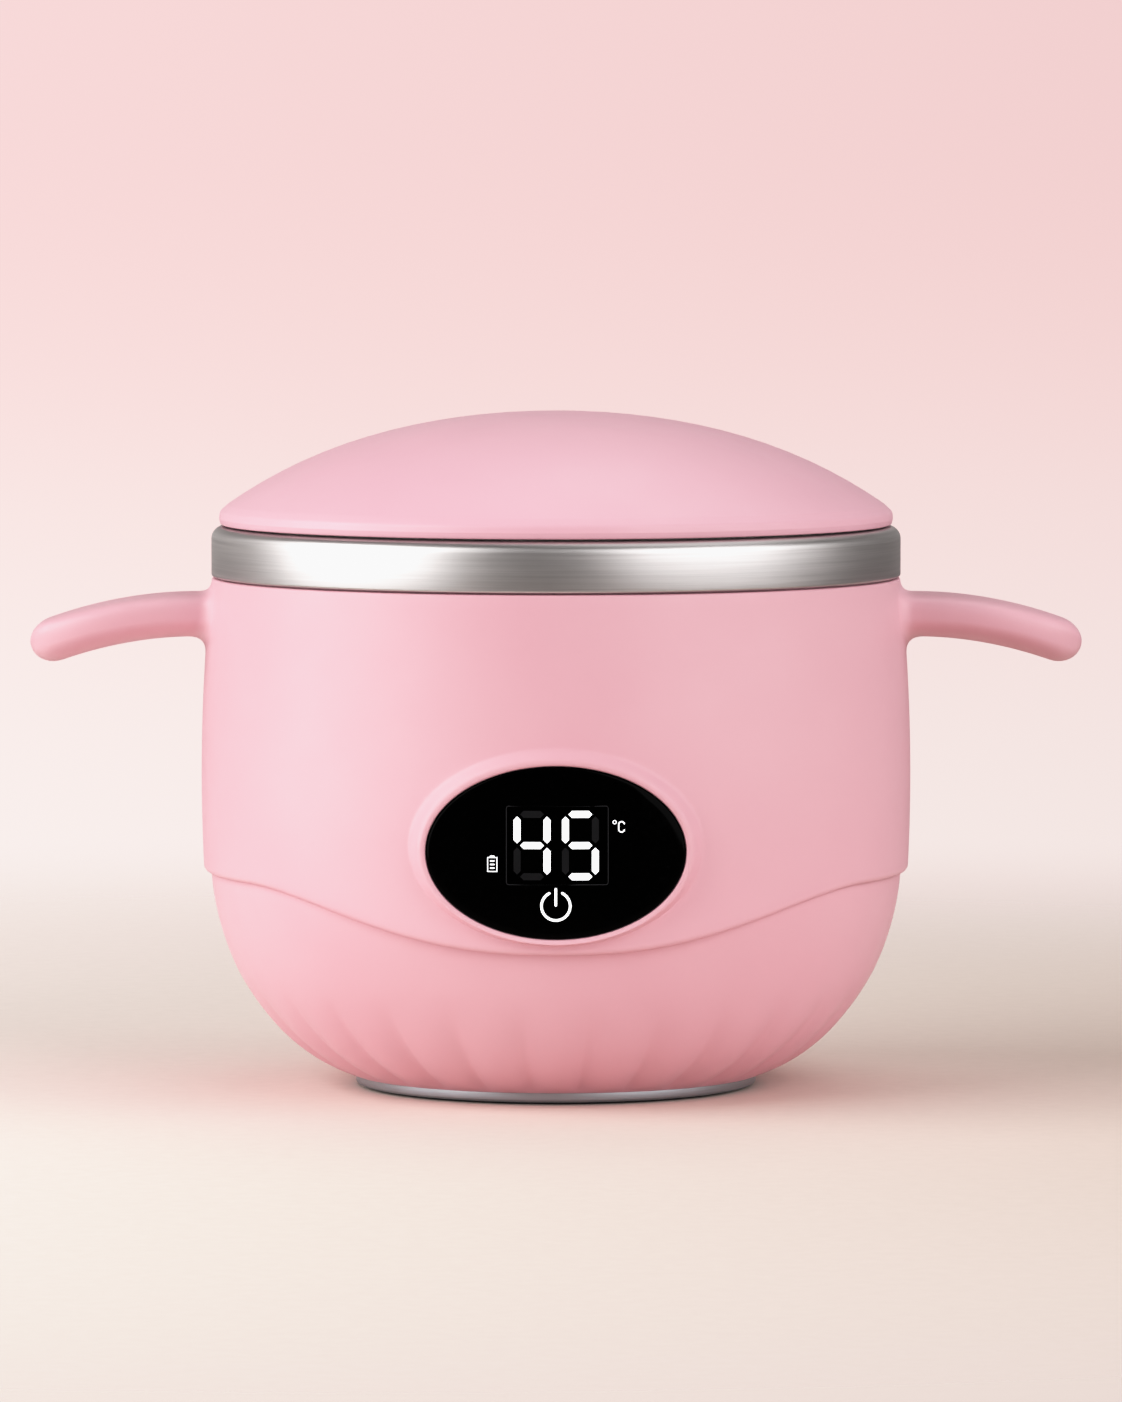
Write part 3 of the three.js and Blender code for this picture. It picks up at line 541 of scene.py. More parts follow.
class HousingGrid:
    """The upper housing's skin as rings round Z, outside first, with square openings for patches."""

    def __init__(self):
        self.angles = FRONT + np.arange(COLUMNS) * TURN / COLUMNS
        self.rings = []
        self.faces = []
        self.holes = []
        self.seam = seam_z(self.angles)
        self.outer_row = len(self.lip())
        self.build()

    def lip(self):
        """Lower edge, from its inner corner round to the outside."""
        rows = []
        for degrees in (0, 22.5, 45, 67.5):
            turn = math.radians(degrees)
            z = self.seam + LIP * (1 - math.cos(turn))
            rows.append((upper_radius(self.seam + LIP) - LIP * (1 - math.sin(turn)), z))
        return rows

    def side_z(self, share):
        low = self.seam + LIP
        return low + (BODY_TOP_Z - EDGE - low) * share

    def build(self):
        rows = self.lip()
        shares = np.linspace(0, 1, SIDE_ROWS)
        for share in shares:
            z = self.side_z(share)
            rows.append((upper_radius(z), z))
        top_r = upper_radius(BODY_TOP_Z - EDGE)
        for degrees in (30, 60, 90):
            turn = math.radians(degrees)
            rows.append((top_r - EDGE * (1 - math.cos(turn)), BODY_TOP_Z - EDGE * (1 - math.sin(turn))))
        neck = [(NECK_R + 0.3, BODY_TOP_Z), (NECK_R, BODY_TOP_Z + 0.3), (NECK_R, NECK_TOP_Z - 0.4)]
        neck += [(NECK_R - 0.12, NECK_TOP_Z - 0.12), (NECK_R - 0.4, NECK_TOP_Z)]
        neck += [(NECK_BORE_R + 0.4, NECK_TOP_Z), (NECK_BORE_R + 0.12, NECK_TOP_Z - 0.12)]
        neck += [(NECK_BORE_R, NECK_TOP_Z - 0.4), (NECK_BORE_R, BODY_TOP_Z)]
        rows += neck
        self.inner_row = len(rows)
        for share in shares[::-1]:
            z = self.side_z(share) - (0.9 if share == 1 else 0)
            wall = np.minimum(upper_radius(z) - WALL, 60.0 + (BODY_TOP_Z - z) * 0.5)
            skirt = lower_radius(np.minimum(z, self.seam + LAP)) + 0.3
            rows.append((np.where(z < self.seam + LAP + 0.3, skirt, wall), z))
        rows.append((lower_radius(self.seam) + 0.3, self.seam))
        for r, z in rows:
            self.rings.append(points_from(r * np.cos(self.angles), r * np.sin(self.angles), z))
        self.points = [p for ring in self.rings for p in ring]

    def index(self, row, column):
        return row * COLUMNS + column % COLUMNS

    def open(self, rows, columns, inside=False):
        """Leaves an opening's faces out; returns the points round it, counter-clockwise from outside."""
        (row0, row1), (column0, column1) = rows, columns
        path = [(row0, c) for c in range(column0, column1)]
        path += [(r, column1) for r in range(row0, row1)]
        path += [(row1, c) for c in range(column1, column0, -1)]
        path += [(r, column0) for r in range(row1, row0, -1)]
        last = self.inner_row + SIDE_ROWS - 1
        start = last - row1 if inside else self.outer_row + row0
        for r in range(start, start + row1 - row0):
            self.holes += [(r, c % COLUMNS) for c in range(column0, column1)]
        return [self.index(last - r if inside else self.outer_row + r, c) for r, c in path]

    def open_both(self, rows, columns, centre_z):
        """Opens both skins. Returns both loops, and the outer one's points and directions."""
        loop, inside = self.open(rows, columns), self.open(rows, columns, inside=True)
        edge = np.array([self.points[i] for i in loop])
        return loop, inside, edge, points_from(edge[:, 0], edge[:, 2] - centre_z)

    def patch(self, loop, rings, end):
        """Fills from a loop through new rings, to the loop end or to a tip if end is a point."""
        previous = loop
        count = len(loop)
        for ring in rings:
            start = len(self.points)
            self.points += list(ring)
            current = list(range(start, start + count))
            self.join(previous, current)
            previous = current
        if isinstance(end, list):
            self.join(previous, end)
        else:
            self.points.append(end)
            self.faces += fan(previous, len(self.points) - 1)

    def join(self, outer, inner):
        count = len(outer)
        for j in range(count):
            k = (j + 1) % count
            self.faces.append((outer[j], outer[k], inner[k], inner[j]))

    def nearest_row(self, z, angle):
        column = round((angle - FRONT) / TURN * COLUMNS) % COLUMNS
        heights = [self.side_z(share)[column] for share in np.linspace(0, 1, SIDE_ROWS)]
        return int(np.argmin(np.abs(np.array(heights) - z)))

    def finish(self, material):
        skipped = set(self.holes)
        rows = len(self.rings)
        for r in range(rows):
            for c in range(COLUMNS):
                if (r, c) not in skipped:
                    above = (r + 1) % rows
                    corners = ((r, c), (r, c + 1), (above, c + 1), (above, c))
                    self.faces.append(tuple(self.index(*corner) for corner in corners))
        used = sorted({i for face in self.faces for i in face})
        renumber = {old: new for new, old in enumerate(used)}
        points = [self.points[i] for i in used]
        faces = [tuple(renumber[i] for i in face) for face in self.faces]
        return make_mesh("upper_housing_shell", points, faces, material, sharp_degrees=50)


def ease(w):
    return w * w * (3 - 2 * w)


def body_depth(across, z):
    return np.sqrt(upper_radius(z) ** 2 - across**2)


def add_boss(grid):
    """Raised oval rim round the display, blended softly into the housing."""
    rows = (0, grid.nearest_row(70.0, FRONT))
    columns = (-BOSS_COLUMNS, BOSS_COLUMNS)
    loop, inside, edge, directions = grid.open_both(rows, columns, LENS_Z)
    base_x, base_z = oval(directions, LENS_HALF_W + 3.3, LENS_HALF_H + 2.4, LENS_Z + 0.9)
    crest_x, crest_z = oval(directions, LENS_HALF_W + 1.05, LENS_HALF_H + 1.0, LENS_Z + 0.05)

    rings = []
    for w in (0.2, 0.4, 0.6, 0.8, 0.93):
        x = between(edge[:, 0], base_x, w)
        z = between(edge[:, 2], base_z, w)
        rings.append(points_from(x, -body_depth(x, z), z))
    for w in (0.0, 0.08, 0.17, 0.27, 0.38, 0.5, 0.62, 0.74, 0.86, 1.0):
        x = between(base_x, crest_x, w)
        z = between(base_z, crest_z, w)
        y = -body_depth(x, z) * (1 - ease(w)) + (RIM_FRONT_Y + lens_bend(x)) * ease(w)
        rings.append(points_from(x, y, z))
    steps = ((0.75, 0.03), (0.5, 0.1), (0.3, 0.24), (0.17, 0.45), (0.12, 0.7), (0.12, 2.3))
    for grow, sink in steps:
        x, z = oval(directions, LENS_HALF_W + grow, LENS_HALF_H + grow, LENS_Z)
        rings.append(points_from(x, RIM_FRONT_Y + lens_bend(x) + sink, z))
    for half_w, half_h, y0 in ((19.9, 12.4, RIM_FRONT_Y + 2.3), (19.9, 12.4, -60.0)):
        x, z = oval(directions, half_w, half_h, LENS_Z)
        rings.append(points_from(x, y0 + lens_bend(x), z))
    grid.patch(loop, rings, inside)


def handle_point(turn, along, grow_side=0.0, grow_top=0.0, grow_bottom=0.0):
    """Point x, y, z of the handle's skin: turn goes round its section, along is x on its middle line."""
    nose = np.clip((along - HANDLE_NOSE_X) / (HANDLE_END_X - HANDLE_NOSE_X), 0, 1)
    bend = np.clip(along, HANDLE_LEVEL_X, HANDLE_NOSE_X) - HANDLE_LEVEL_X
    slope = np.arctan(2 * bend / HANDLE_SAG)
    middle_x = np.minimum(along, HANDLE_NOSE_X) + nose * HANDLE_NOSE_LENGTH * np.cos(slope)
    middle_z = HANDLE_Z - bend**2 / HANDLE_SAG - nose * HANDLE_NOSE_LENGTH * np.sin(slope)
    taper = np.clip((along - HANDLE_TAPER_X) / (HANDLE_END_X - HANDLE_TAPER_X), 0, 1)
    half_depth = HANDLE_HALF_DEPTH * (1 - taper**2.4) ** (1 / 2.4) + grow_side
    half_height = HANDLE_HALF_HEIGHT * np.sqrt(1 - nose**2)
    across, up = np.cos(turn), np.sin(turn)
    half_height = half_height + np.where(up > 0, grow_top, grow_bottom)
    power = 2 / np.where(up > 0, HANDLE_SQUARENESS_TOP, HANDLE_SQUARENESS_BOTTOM)
    height = half_height * np.sign(up) * np.abs(up) ** power
    depth = half_depth * np.sign(across) * np.abs(across) ** power
    return middle_x + height * np.sin(slope), depth, middle_z + height * np.cos(slope)


def add_handle(grid, side):
    """Ear handle: a fillet out of the housing, a drooping tongue with a flat top and a round nose."""
    angle = 0.0 if side > 0 else math.pi
    middle = round((angle - FRONT) / TURN * COLUMNS)
    rows = (grid.nearest_row(76.5, angle), SIDE_ROWS - 1)
    loop = grid.open(rows, (middle - HANDLE_COLUMNS, middle + HANDLE_COLUMNS))
    edge = np.array([grid.points[i] for i in loop])
    low, high = edge[:, 2].min(), edge[:, 2].max()
    centre_z, half_z = (low + high) / 2, (high - low) / 2
    turn = np.arctan2((edge[:, 2] - centre_z) / half_z, edge[:, 1] / np.abs(edge[:, 1]).max())
    top_room = BODY_TOP_Z - EDGE - 0.06 - HANDLE_Z - HANDLE_HALF_HEIGHT
    a_y, a_z = handle_point(turn, HANDLE_ROOT_X, 2.6, top_room, 3.1)[1:]
    c_y, c_z = handle_point(turn, HANDLE_ROOT_X)[1:]

    def on_body(y, z):
        return points_from(side * body_depth(y, z), y, z)

    def skin(along):
        return points_from(*handle_point(turn, along)) * (side, 1, 1)

    rings = []
    for w in (0.25, 0.5, 0.75, 0.9):
        rings.append(on_body(between(edge[:, 1], a_y, w), between(edge[:, 2], a_z, w)))
    start, corner = on_body(a_y, a_z), on_body(c_y, c_z)
    run = 2.5 + np.abs(np.sin(turn)) * np.where(np.sin(turn) > 0, 0.2, 0.9)
    end_x = np.abs(corner[:, 0]) + run
    end = skin(end_x)
    for t in (0, 0.12, 0.24, 0.36, 0.48, 0.6, 0.74, 0.88, 1.0):
        rings.append((1 - t) ** 2 * start + 2 * t * (1 - t) * corner + t * t * end)
    first_x = float(end_x.max())
    for share in np.linspace(0, 1, 23)[1:]:
        along = first_x + (HANDLE_NOSE_X - first_x) * share + (end_x - first_x) * (1 - share) ** 2
        rings.append(skin(along))
    for degrees in (10, 20, 30, 40, 50, 58, 66, 73, 79, 84, 87.5):
        share = math.sin(math.radians(degrees))
        rings.append(skin(between(HANDLE_NOSE_X, HANDLE_END_X, share)))
    tip = np.array(handle_point(0.0, HANDLE_END_X)) * (side, 1, 1)
    grid.patch(loop, rings, tip)


def add_port_seat(grid):
    """Shallow seat for the silicone cover at the back, with the socket's slot in it."""
    middle = COLUMNS // 2
    rows = (grid.nearest_row(PORT_Z - 8.0, -FRONT), grid.nearest_row(PORT_Z + 8.5, -FRONT))
    columns = (middle - PORT_COLUMNS, middle + PORT_COLUMNS)
    loop, inside, edge, directions = grid.open_both(rows, columns, PORT_Z)

    rim_x, rim_z = oval(directions, 8.2, 5.7, PORT_Z, PORT_SQUARENESS)
    rings = []
    for w in (0.4, 0.8, 1.0):
        x = between(edge[:, 0], rim_x, w)
        z = between(edge[:, 2], rim_z, w)
        rings.append(points_from(x, body_depth(x, z), z))
    for grow, sink in ((0.2, 0.03), (0.08, 0.12), (0.0, 0.35)):
        x, z = oval(directions, 7.8 + grow, 5.3 + grow, PORT_Z, PORT_SQUARENESS)
        rings.append(points_from(x, body_depth(x, z) - sink, z))
    for half_w, half_h, centre, y in (
        (7.8, 5.3, PORT_Z, PORT_SEAT_Y + 0.1),
        (7.6, 5.1, PORT_Z, PORT_SEAT_Y),
        (5.1, 2.2, PORT_Z + 1, PORT_SEAT_Y),
        (4.9, 2.0, PORT_Z + 1, PORT_SEAT_Y - 0.2),
        (4.9, 2.0, PORT_Z + 1, 60.5),
    ):
        x, z = oval(directions, half_w, half_h, centre, PORT_SQUARENESS)
        rings.append(points_from(x, y, z))
    grid.patch(loop, rings, inside)


def upper_housing():
    grid = HousingGrid()
    add_boss(grid)
    add_handle(grid, 1)
    add_handle(grid, -1)
    add_port_seat(grid)
    enrol(grid.finish(PINK), "housing", "housing_pink", "upper_housing")


# ---- lower housing
def flute_radius(z, angle):
    strength = np.clip((FLUTE_TOP_Z - z) / FLUTE_RUN, 0, 1)
    strength = strength * np.clip(0.12 + (z - LOWER_BOTTOM_Z) / FLUTE_FOOT, 0, 1)
    valley = 1 - np.abs(np.cos(FLUTES / 2 * (angle - FRONT)))
    return np.maximum(lower_radius(z) - FLUTE_DEPTH * strength * valley, PLATE_HIGH[0] + 0.7)


def lower_housing():
    per_flute = 12
    count = FLUTES * per_flute
    angles = FRONT + TURN / FLUTES / 2 + np.arange(count) * TURN / count
    top = seam_z(angles) + LAP
    bore_r = PLATE_HIGH[0] + 0.3
    rows = [(bore_r, 3.5), (bore_r, LOWER_BOTTOM_Z + 0.2), (bore_r + 0.15, LOWER_BOTTOM_Z + 0.02)]
    rises = (0, 0.1, 0.25, 0.5, 0.9, 1.5, 2.4, 3.4, 4.6, 5.8, 7.2, 8.6, 10.1, 11.7, 13.3, 15, 16.8, 18.8)
    for z in LOWER_BOTTOM_Z + np.array(rises):
        rows.append((flute_radius(z, angles), z))
    for share in np.linspace(0, 1, 12)[1:]:
        z = 21.0 + (top - 21.0) * share
        rows.append((lower_radius(z), z))
    rows.append((lower_radius(top) - LOWER_WALL, top))
    for z in (24, 18, 13, 9, 6.5):
        rows.append((lower_radius(z) - LOWER_WALL - FLUTE_BACK * (z < 20), z))
    rows.append((39.0, 5.5))
    rings = []
    for r, z in rows:
        rings.append(points_from(r * np.cos(angles), r * np.sin(angles), z))
    piece = ring_stack("lower_housing_shell", rings, PINK, sharp_degrees=40)
    enrol(piece, "housing", "housing_pink", "lower_housing")


# ---- turned pieces
def inner_bowl():
    corner = (BOWL_FLAT_R, BOWL_BASE_Z + BOWL_CORNER)
    outline = [(0, BOWL_BASE_Z), *arc(*corner, BOWL_CORNER, -90, 0, 10)]
    outline += [
        (BOWL_MOUTH_R, 98), (BOWL_MOUTH_R, 100.2, 1.0), (BOWL_R - 1, 100.2, 1.2),
        (BOWL_R - 1, BAND_BOTTOM_Z, 0.3), (BOWL_R, BAND_BOTTOM_Z, 0.45),
        *arc(BOWL_R - 2.2, BOWL_TOP_Z - 2.2, 2.2, 0, 90, 8),
        (BOWL_MOUTH_R - 0.4, BOWL_TOP_Z, 2.0), (BOWL_MOUTH_R - 1, 98),
        *arc(*corner, BOWL_CORNER - 1, 0, -90, 10), (0, BOWL_BASE_Z + 1),
    ]
    piece = lathe("steel_bowl", outline, STEEL, segments=224, steps=5)
    enrol(piece, "bowl", "brushed_steel", "inner_bowl")


def lid_cover():
    domed = [(r, lid_z(r)) for r in (57.8, 56, 53, 49.5, 46, 42, 38, 34, 30, 26, 22, 18, 14, 10, 6, 3)]
    hollow = [(r, lid_z(r) - 2) for r in (6, 14, 22, 30, 38, 46, 52)]
    low, lip_top = LID_BOTTOM_Z, (LID_R - 1.5, lid_z(LID_R - 1.5), 0.8)
    lip = [(LID_R - 2.2, low, 0.3), (LID_R - 0.25, low, 0.45), (LID_R, low + 1.1, 0.5)]
    lip += [(LID_R - 0.1, low + 2.3, 1.2), lip_top]
    inner_edge = [(56.5, lid_z(56.5) - 2), (LID_R - 2.2, 103.7, 0.3)]
    outline = [(0, LID_TOP_Z - 2), *hollow, *inner_edge, *lip, *domed, (0, LID_TOP_Z)]
    piece = lathe("lid_dome", outline, PINK_LID, segments=224, sharp_degrees=50)
    enrol(piece, "lid", "lid_pink", "lid_cover")


def lid_inside():
    liner = [
        (0, 97.5), (40, 97.5), (41, 98.1, 0.4), (44, 98.1, 0.4), (45, 97.5, 0.4), (52.5, 97.5, 1.2),
        (54, 99, 0.8), (54, 102.9, 0.3), (57, 102.9, 0.3), (57, 103.9, 0.4), (52.5, 103.9, 0.4),
        (52.5, 99.6, 0.6), (0, 99.2),
    ]
    enrol(lathe("lid_liner_disc", liner, LINER), "lid", "liner_plastic", "lid_liner")
    seal = [
        (54.3, 98.2, 0.2), (55.5, 98.2, 0.5), (55.9, 99.0, 0.4), (55.4, 99.6, 0.3), (55.9, 100.4, 0.4),
        (55.9, 101.5, 0.3), (58.2, 101.5, 0.4), (58.2, 102.6, 0.4), (54.3, 102.6, 0.2),
    ]
    enrol(lathe("lid_seal_ring", seal, SEAL), "lid", "silicone_seal", "lid_seal")


def well():
    """The sleeve that holds the bowl, its gasket, and the heating plate at its foot."""
    corner = (BOWL_FLAT_R, BOWL_BASE_Z + BOWL_CORNER)
    sleeve = [
        (37.3, 36, 0.2), (38.5, 36, 0.3), (38.5, 39.2, 0.5), *arc(*corner, BOWL_CORNER + 1.8, -90, 0, 10),
        (58.5, 94), (58.5, 98.2, 0.2), (57.7, 98.2, 0.3), *arc(*corner, BOWL_CORNER + 0.6, 0, -90, 10),
        (37.3, 40.4, 0.4),
    ]
    enrol(lathe("well_sleeve", sleeve, LINER), "housing", "liner_plastic", "inner_sleeve")
    gasket = [(57.9, 98.7, 0.2), (60.5, 98.7, 0.2), (60.5, 99.5, 0.4), (59.8, 99.9, 0.4), (57.9, 99.9, 0.4)]
    enrol(lathe("rim_gasket", gasket, SEAL), "housing", "silicone_seal", "bowl_gasket")
    plate = [
        (6.5, 38, 0.2), (35.5, 38, 0.3), (35.5, 40.7, 0.5), (24.6, 40.7, 0.1), (24.2, 40.45, 0.1),
        (23.4, 40.45, 0.1), (23.0, 40.7, 0.1), (6.5, 40.7, 0.4),
    ]
    disc = lathe("warming_plate", plate, ALUMINIUM, segments=160)
    enrol(disc, "housing", "plate_aluminium", "heating_plate")
    seal = [(35.8, 37.6, 0.2), (37, 37.6, 0.2), (37, 40.2, 0.5), (35.8, 40.2, 0.3)]
    enrol(lathe("plate_gasket", seal, SEAL, segments=160), "housing", "silicone_seal", "plate_seal")
    probe = [(0, 39.5), (4.6, 39.5, 0.2), (4.6, 33, 0.1), (5.8, 33, 0.2), (5.8, 40.7, 0.9), (2, 40.7)]
    probe.append((0, 40.7))
    enrol(lathe("probe_cap", probe, STEEL_FACE, segments=64), "sensor", "brushed_steel", "sensor_probe")


def base():
    r = PLATE_HIGH[0]
    low, high = PLATE_LOW[2], PLATE_HIGH[2]
    plate = [
        (0, low + 2), (r - 1, low + 2, 0.3), (r - 1, low, 0.25), (r, low, 0.5), (r, high, 0.5), (0, high),
    ]
    ring = lathe("steel_base_ring", plate, BASE_STEEL)
    enrol(ring, "housing", "brushed_steel", "base_plate")
    foot = FOOT_HIGH[0]
    rings = []
    for radius in (8, 14, 20, 26):
        rings += [(radius, 0, 0.3), (radius + 0.4, 0.35, 0.2)]
        rings += [(radius + 1.2, 0.35, 0.2), (radius + 1.6, 0, 0.3)]
    pad = [(0, 0), *rings, (foot, 0, 0.7), (foot, FOOT_HIGH[2], 0.2), (0, FOOT_HIGH[2])]
    enrol(lathe("foot_disc", pad, FOOT_SKIN, segments=160), "housing", "foot_rubber", "foot_pad")


# ---- display
def lens():
    directions = even_directions(160, LENS_HALF_W, LENS_HALF_H)
    face, back = LENS_FRONT_Y, LENS_FRONT_Y + LENS_THICKNESS
    profile = [(0.3, 0, back), (0.7, 0, back), (1.0, -0.15, back), (1.0, 0, back - 0.15)]
    profile += [(1.0, 0, face + 0.35), (1.0, -0.08, face + 0.15), (1.0, -0.24, face + 0.03)]
    profile.append((1.0, -0.5, face))
    profile += [(share, 0, face) for share in (0.93, 0.85, 0.72, 0.58, 0.44, 0.3, 0.15)]
    rings = []
    for share, grow, y in profile:
        x, z = oval(directions, LENS_HALF_W * share + grow, LENS_HALF_H * share + grow, LENS_Z)
        rings.append(points_from(x, y + lens_bend(x), z)[::-1])
    piece = ring_stack("display_glass", rings, LENS, sharp_degrees=60)
    enrol(piece, "housing", "display_black", "display_lens")


def face_plate(name, outlines, material, proud=0.05):
    """Thin printed or lit shapes on the display's face, each an outline of (x, z) points."""
    points, faces = [], []
    for outline in outlines:
        start = len(points)
        count = len(outline)
        for depth in (-proud, 0.02):
            points += [(x, LENS_FRONT_Y + lens_bend(x) + depth, z) for x, z in outline]
        front = list(range(start, start + count))
        rear = [i + count for i in front]
        area = sum(a[0] * b[1] - b[0] * a[1] for a, b in zip(outline, outline[1:] + outline[:1]))
        if area < 0:
            front, rear = front[::-1], rear[::-1]
        faces.append(tuple(front))
        faces.append(tuple(rear[::-1]))
        for j in range(count):
            k = (j + 1) % count
            faces.append((front[k], front[j], rear[j], rear[k]))
    return make_mesh(name, points, faces, material)


def stroke(path, width, round_ends=True):
    """Outline of a line of even width along (x, z) points."""
    path = [np.array(p, float) for p in path]
    left, right = [], []
    for i, here in enumerate(path):
        ahead = path[min(i + 1, len(path) - 1)] - path[max(i - 1, 0)]
        ahead /= np.linalg.norm(ahead)
        side = np.array([-ahead[1], ahead[0]]) * width / 2
        left.append(here + side)
        right.append(here - side)
    outline = list(right)
    if round_ends:
        outline += half_disc(path[-1], path[-1] - path[-2], width / 2)
    outline += left[::-1]
    if round_ends:
        outline += half_disc(path[0], path[0] - path[1], width / 2)
    return [tuple(p) for p in outline]


def half_disc(centre, outward, radius):
    base = math.atan2(outward[1], outward[0])
    angles = [base + math.radians(a) for a in (-60, -30, 0, 30, 60)]
    return [centre + radius * np.array([math.cos(a), math.sin(a)]) for a in angles]


DIGIT_HEIGHT = 12.08
DIGIT_WIDTH = 6.42
SEGMENT = 1.22
LEVEL_GAP = 0.52  # from a level bar's point to the corner of the digit
UPRIGHT_GAP = 0.36


def segment_outlines(centre_x, centre_z):
    """The seven bars of a digit by name, as pointed hexagons."""
    half_w, half_h = (DIGIT_WIDTH - SEGMENT) / 2, (DIGIT_HEIGHT - SEGMENT) / 2
    thick = SEGMENT / 2

    def bar(x0, z0, x1, z1):
        start, end = np.array([x0, z0]), np.array([x1, z1])
        along = (end - start) / np.linalg.norm(end - start)
        side = np.array([-along[1], along[0]]) * thick
        gap = LEVEL_GAP if z0 == z1 else UPRIGHT_GAP
        start, end = start + along * gap, end - along * gap
        corners = [start, start + along * thick - side, end - along * thick - side, end]
        corners += [end - along * thick + side, start + along * thick + side]
        return [(centre_x + p[0], centre_z + p[1]) for p in corners]

    return {
        "top": bar(-half_w, half_h, half_w, half_h),
        "middle": bar(-half_w, 0, half_w, 0),
        "bottom": bar(-half_w, -half_h, half_w, -half_h),
        "upper_left": bar(-half_w, 0, -half_w, half_h),
        "upper_right": bar(half_w, 0, half_w, half_h),
        "lower_left": bar(-half_w, -half_h, -half_w, 0),
        "lower_right": bar(half_w, -half_h, half_w, 0),
    }


LIT_SEGMENTS = {
    4: ("upper_left", "upper_right", "middle", "lower_right"),
    5: ("top", "upper_left", "middle", "lower_right", "bottom"),
}


def display_face():
    """Lit and unlit segments, the faint outline of the digit window and three small icons; the unlit
    segments and the outline carry a faint painted glow.
    """
    centre_z = LENS_Z + 1.35
    lit, unlit = [], []
    for digit, centre_x in ((4, -4.13), (5, 4.27)):
        for name, outline in segment_outlines(centre_x, centre_z).items():
            (lit if name in LIT_SEGMENTS[digit] else unlit).append(outline)
    enrol(face_plate("lit_segments", lit, LIT), "housing", "led_white")
    enrol(face_plate("unlit_segments", unlit, UNLIT), "housing", "display_black")
    low, high, left, right = LENS_Z - 5.5, LENS_Z + 8.2, -8.6, 9.1
    corners = [(left, low, 0.4), (right, low, 0.4), (right, high, 0.4), (left, high, 0.4)]
    outline = rounded(corners, closed=True)
    lines = []
    for start, end in zip(outline, outline[1:] + outline[:1]):
        steps = max(1, round(abs(end[0] - start[0]) / 1.5))
        lines.append(stroke([start + (end - start) * i / steps for i in range(steps + 1)], 0.12))
    enrol(face_plate("digit_window_outline", lines, OUTLINE, 0.03), "housing", "display_black")
    icons = power_icon(0.0, LENS_Z - 9.2) + battery_icon(-11.05, LENS_Z - 2.0)
    icons += degree_icon(11.0, LENS_Z + 4.6)
    enrol(face_plate("icons", icons, LIT), "housing", "led_white")


def power_icon(x, z):
    radius, gap = 2.5, 27
    circle = arc(x, z, radius, 90 + gap, 450 - gap, 32)
    return [stroke(circle, 0.45), stroke([(x, z + 0.15), (x, z + 2.95)], 0.45)]


def battery_icon(x, z):
    half_w, half_h, line = 0.8, 1.22, 0.17
    corners = [(-half_w, -half_h), (half_w, -half_h), (half_w, half_h), (-half_w, half_h)]
    sides = []
    for (x0, z0), (x1, z1) in zip(corners, corners[1:] + corners[:1]):
        sides.append(stroke([(x + x0, z + z0), (x + x1, z + z1)], line))
    for level in (half_h + 0.2, -0.62, 0.0, 0.62):
        sides.append(stroke([(x - 0.3, z + level), (x + 0.3, z + level)], 0.24))
    return sides


def degree_icon(x, z):
    """A degree ring and a C."""
    dot = arc(x - 0.78, z + 0.78, 0.3, 0, 330, 11)
    lines = [stroke(dot + dot[:1], 0.14, round_ends=False)]
    upper = arc(x + 0.42, z + 0.36, 0.5, 15, 180, 11)
    lower = arc(x + 0.42, z - 0.45, 0.5, 180, 345, 11)
    lines.append(stroke(upper + lower, 0.22))
    return lines


# ---- charging port
def cover_piece(name, half_w, half_h, centre_z, squareness, profile, count=48, sharp_degrees=35):
    """Oval piece that rides on the cover. profile rows are share of its size, growth and y."""
    directions = even_directions(count, half_w, half_h)
    rings = []
    for share, grow, y in profile:
        x, z = oval(directions, half_w * share + grow, half_h * share + grow, centre_z, squareness)
        rings.append(points_from(x, y, z))
    return ring_stack(name, rings, FLAP_SKIN, sharp_degrees)


def port_cover():
    """Soft cover with a rounded edge, a finger tab and the plug that fills the socket."""
    face, back = FLAP_FACE_Y, PORT_SEAT_Y + 0.3
    profile = [(0.4, 0, back), (1.0, -0.3, back), (1.0, 0, back + 0.3), (1.0, 0, face - 0.45)]
    profile += [(1.0, -0.12, face - 0.2), (1.0, -0.4, face - 0.05), (1.0, -0.8, face)]
    profile += [(0.75, 0, face), (0.5, 0, face), (0.25, 0, face)]
    flap = cover_piece("port_flap", FLAP_HALF_W, FLAP_HALF_H, PORT_Z, PORT_SQUARENESS, profile, 96, 50)
    enrol(flap, "cover", "cover_silicone", "port_cover")
    bulge = ((0.3, 64.1), (0.1, 64.3), (0, 64.6), (0, 64.75), (-0.12, 64.92), (-0.35, 65.0))
    tab = cover_piece("port_flap_tab", 2.5, 0.6, PORT_Z + 3.8, 3.0, [(1, *row) for row in bulge])
    enrol(tab, "cover", "cover_silicone")
    shank = ((-0.25, 61.4), (0, 61.65), (0, 62.9))
    plug = cover_piece("port_flap_plug", 3.6, 0.6, PORT_Z + 1, 4.0, [(1, *row) for row in shank])
    enrol(plug, "cover", "cover_silicone")


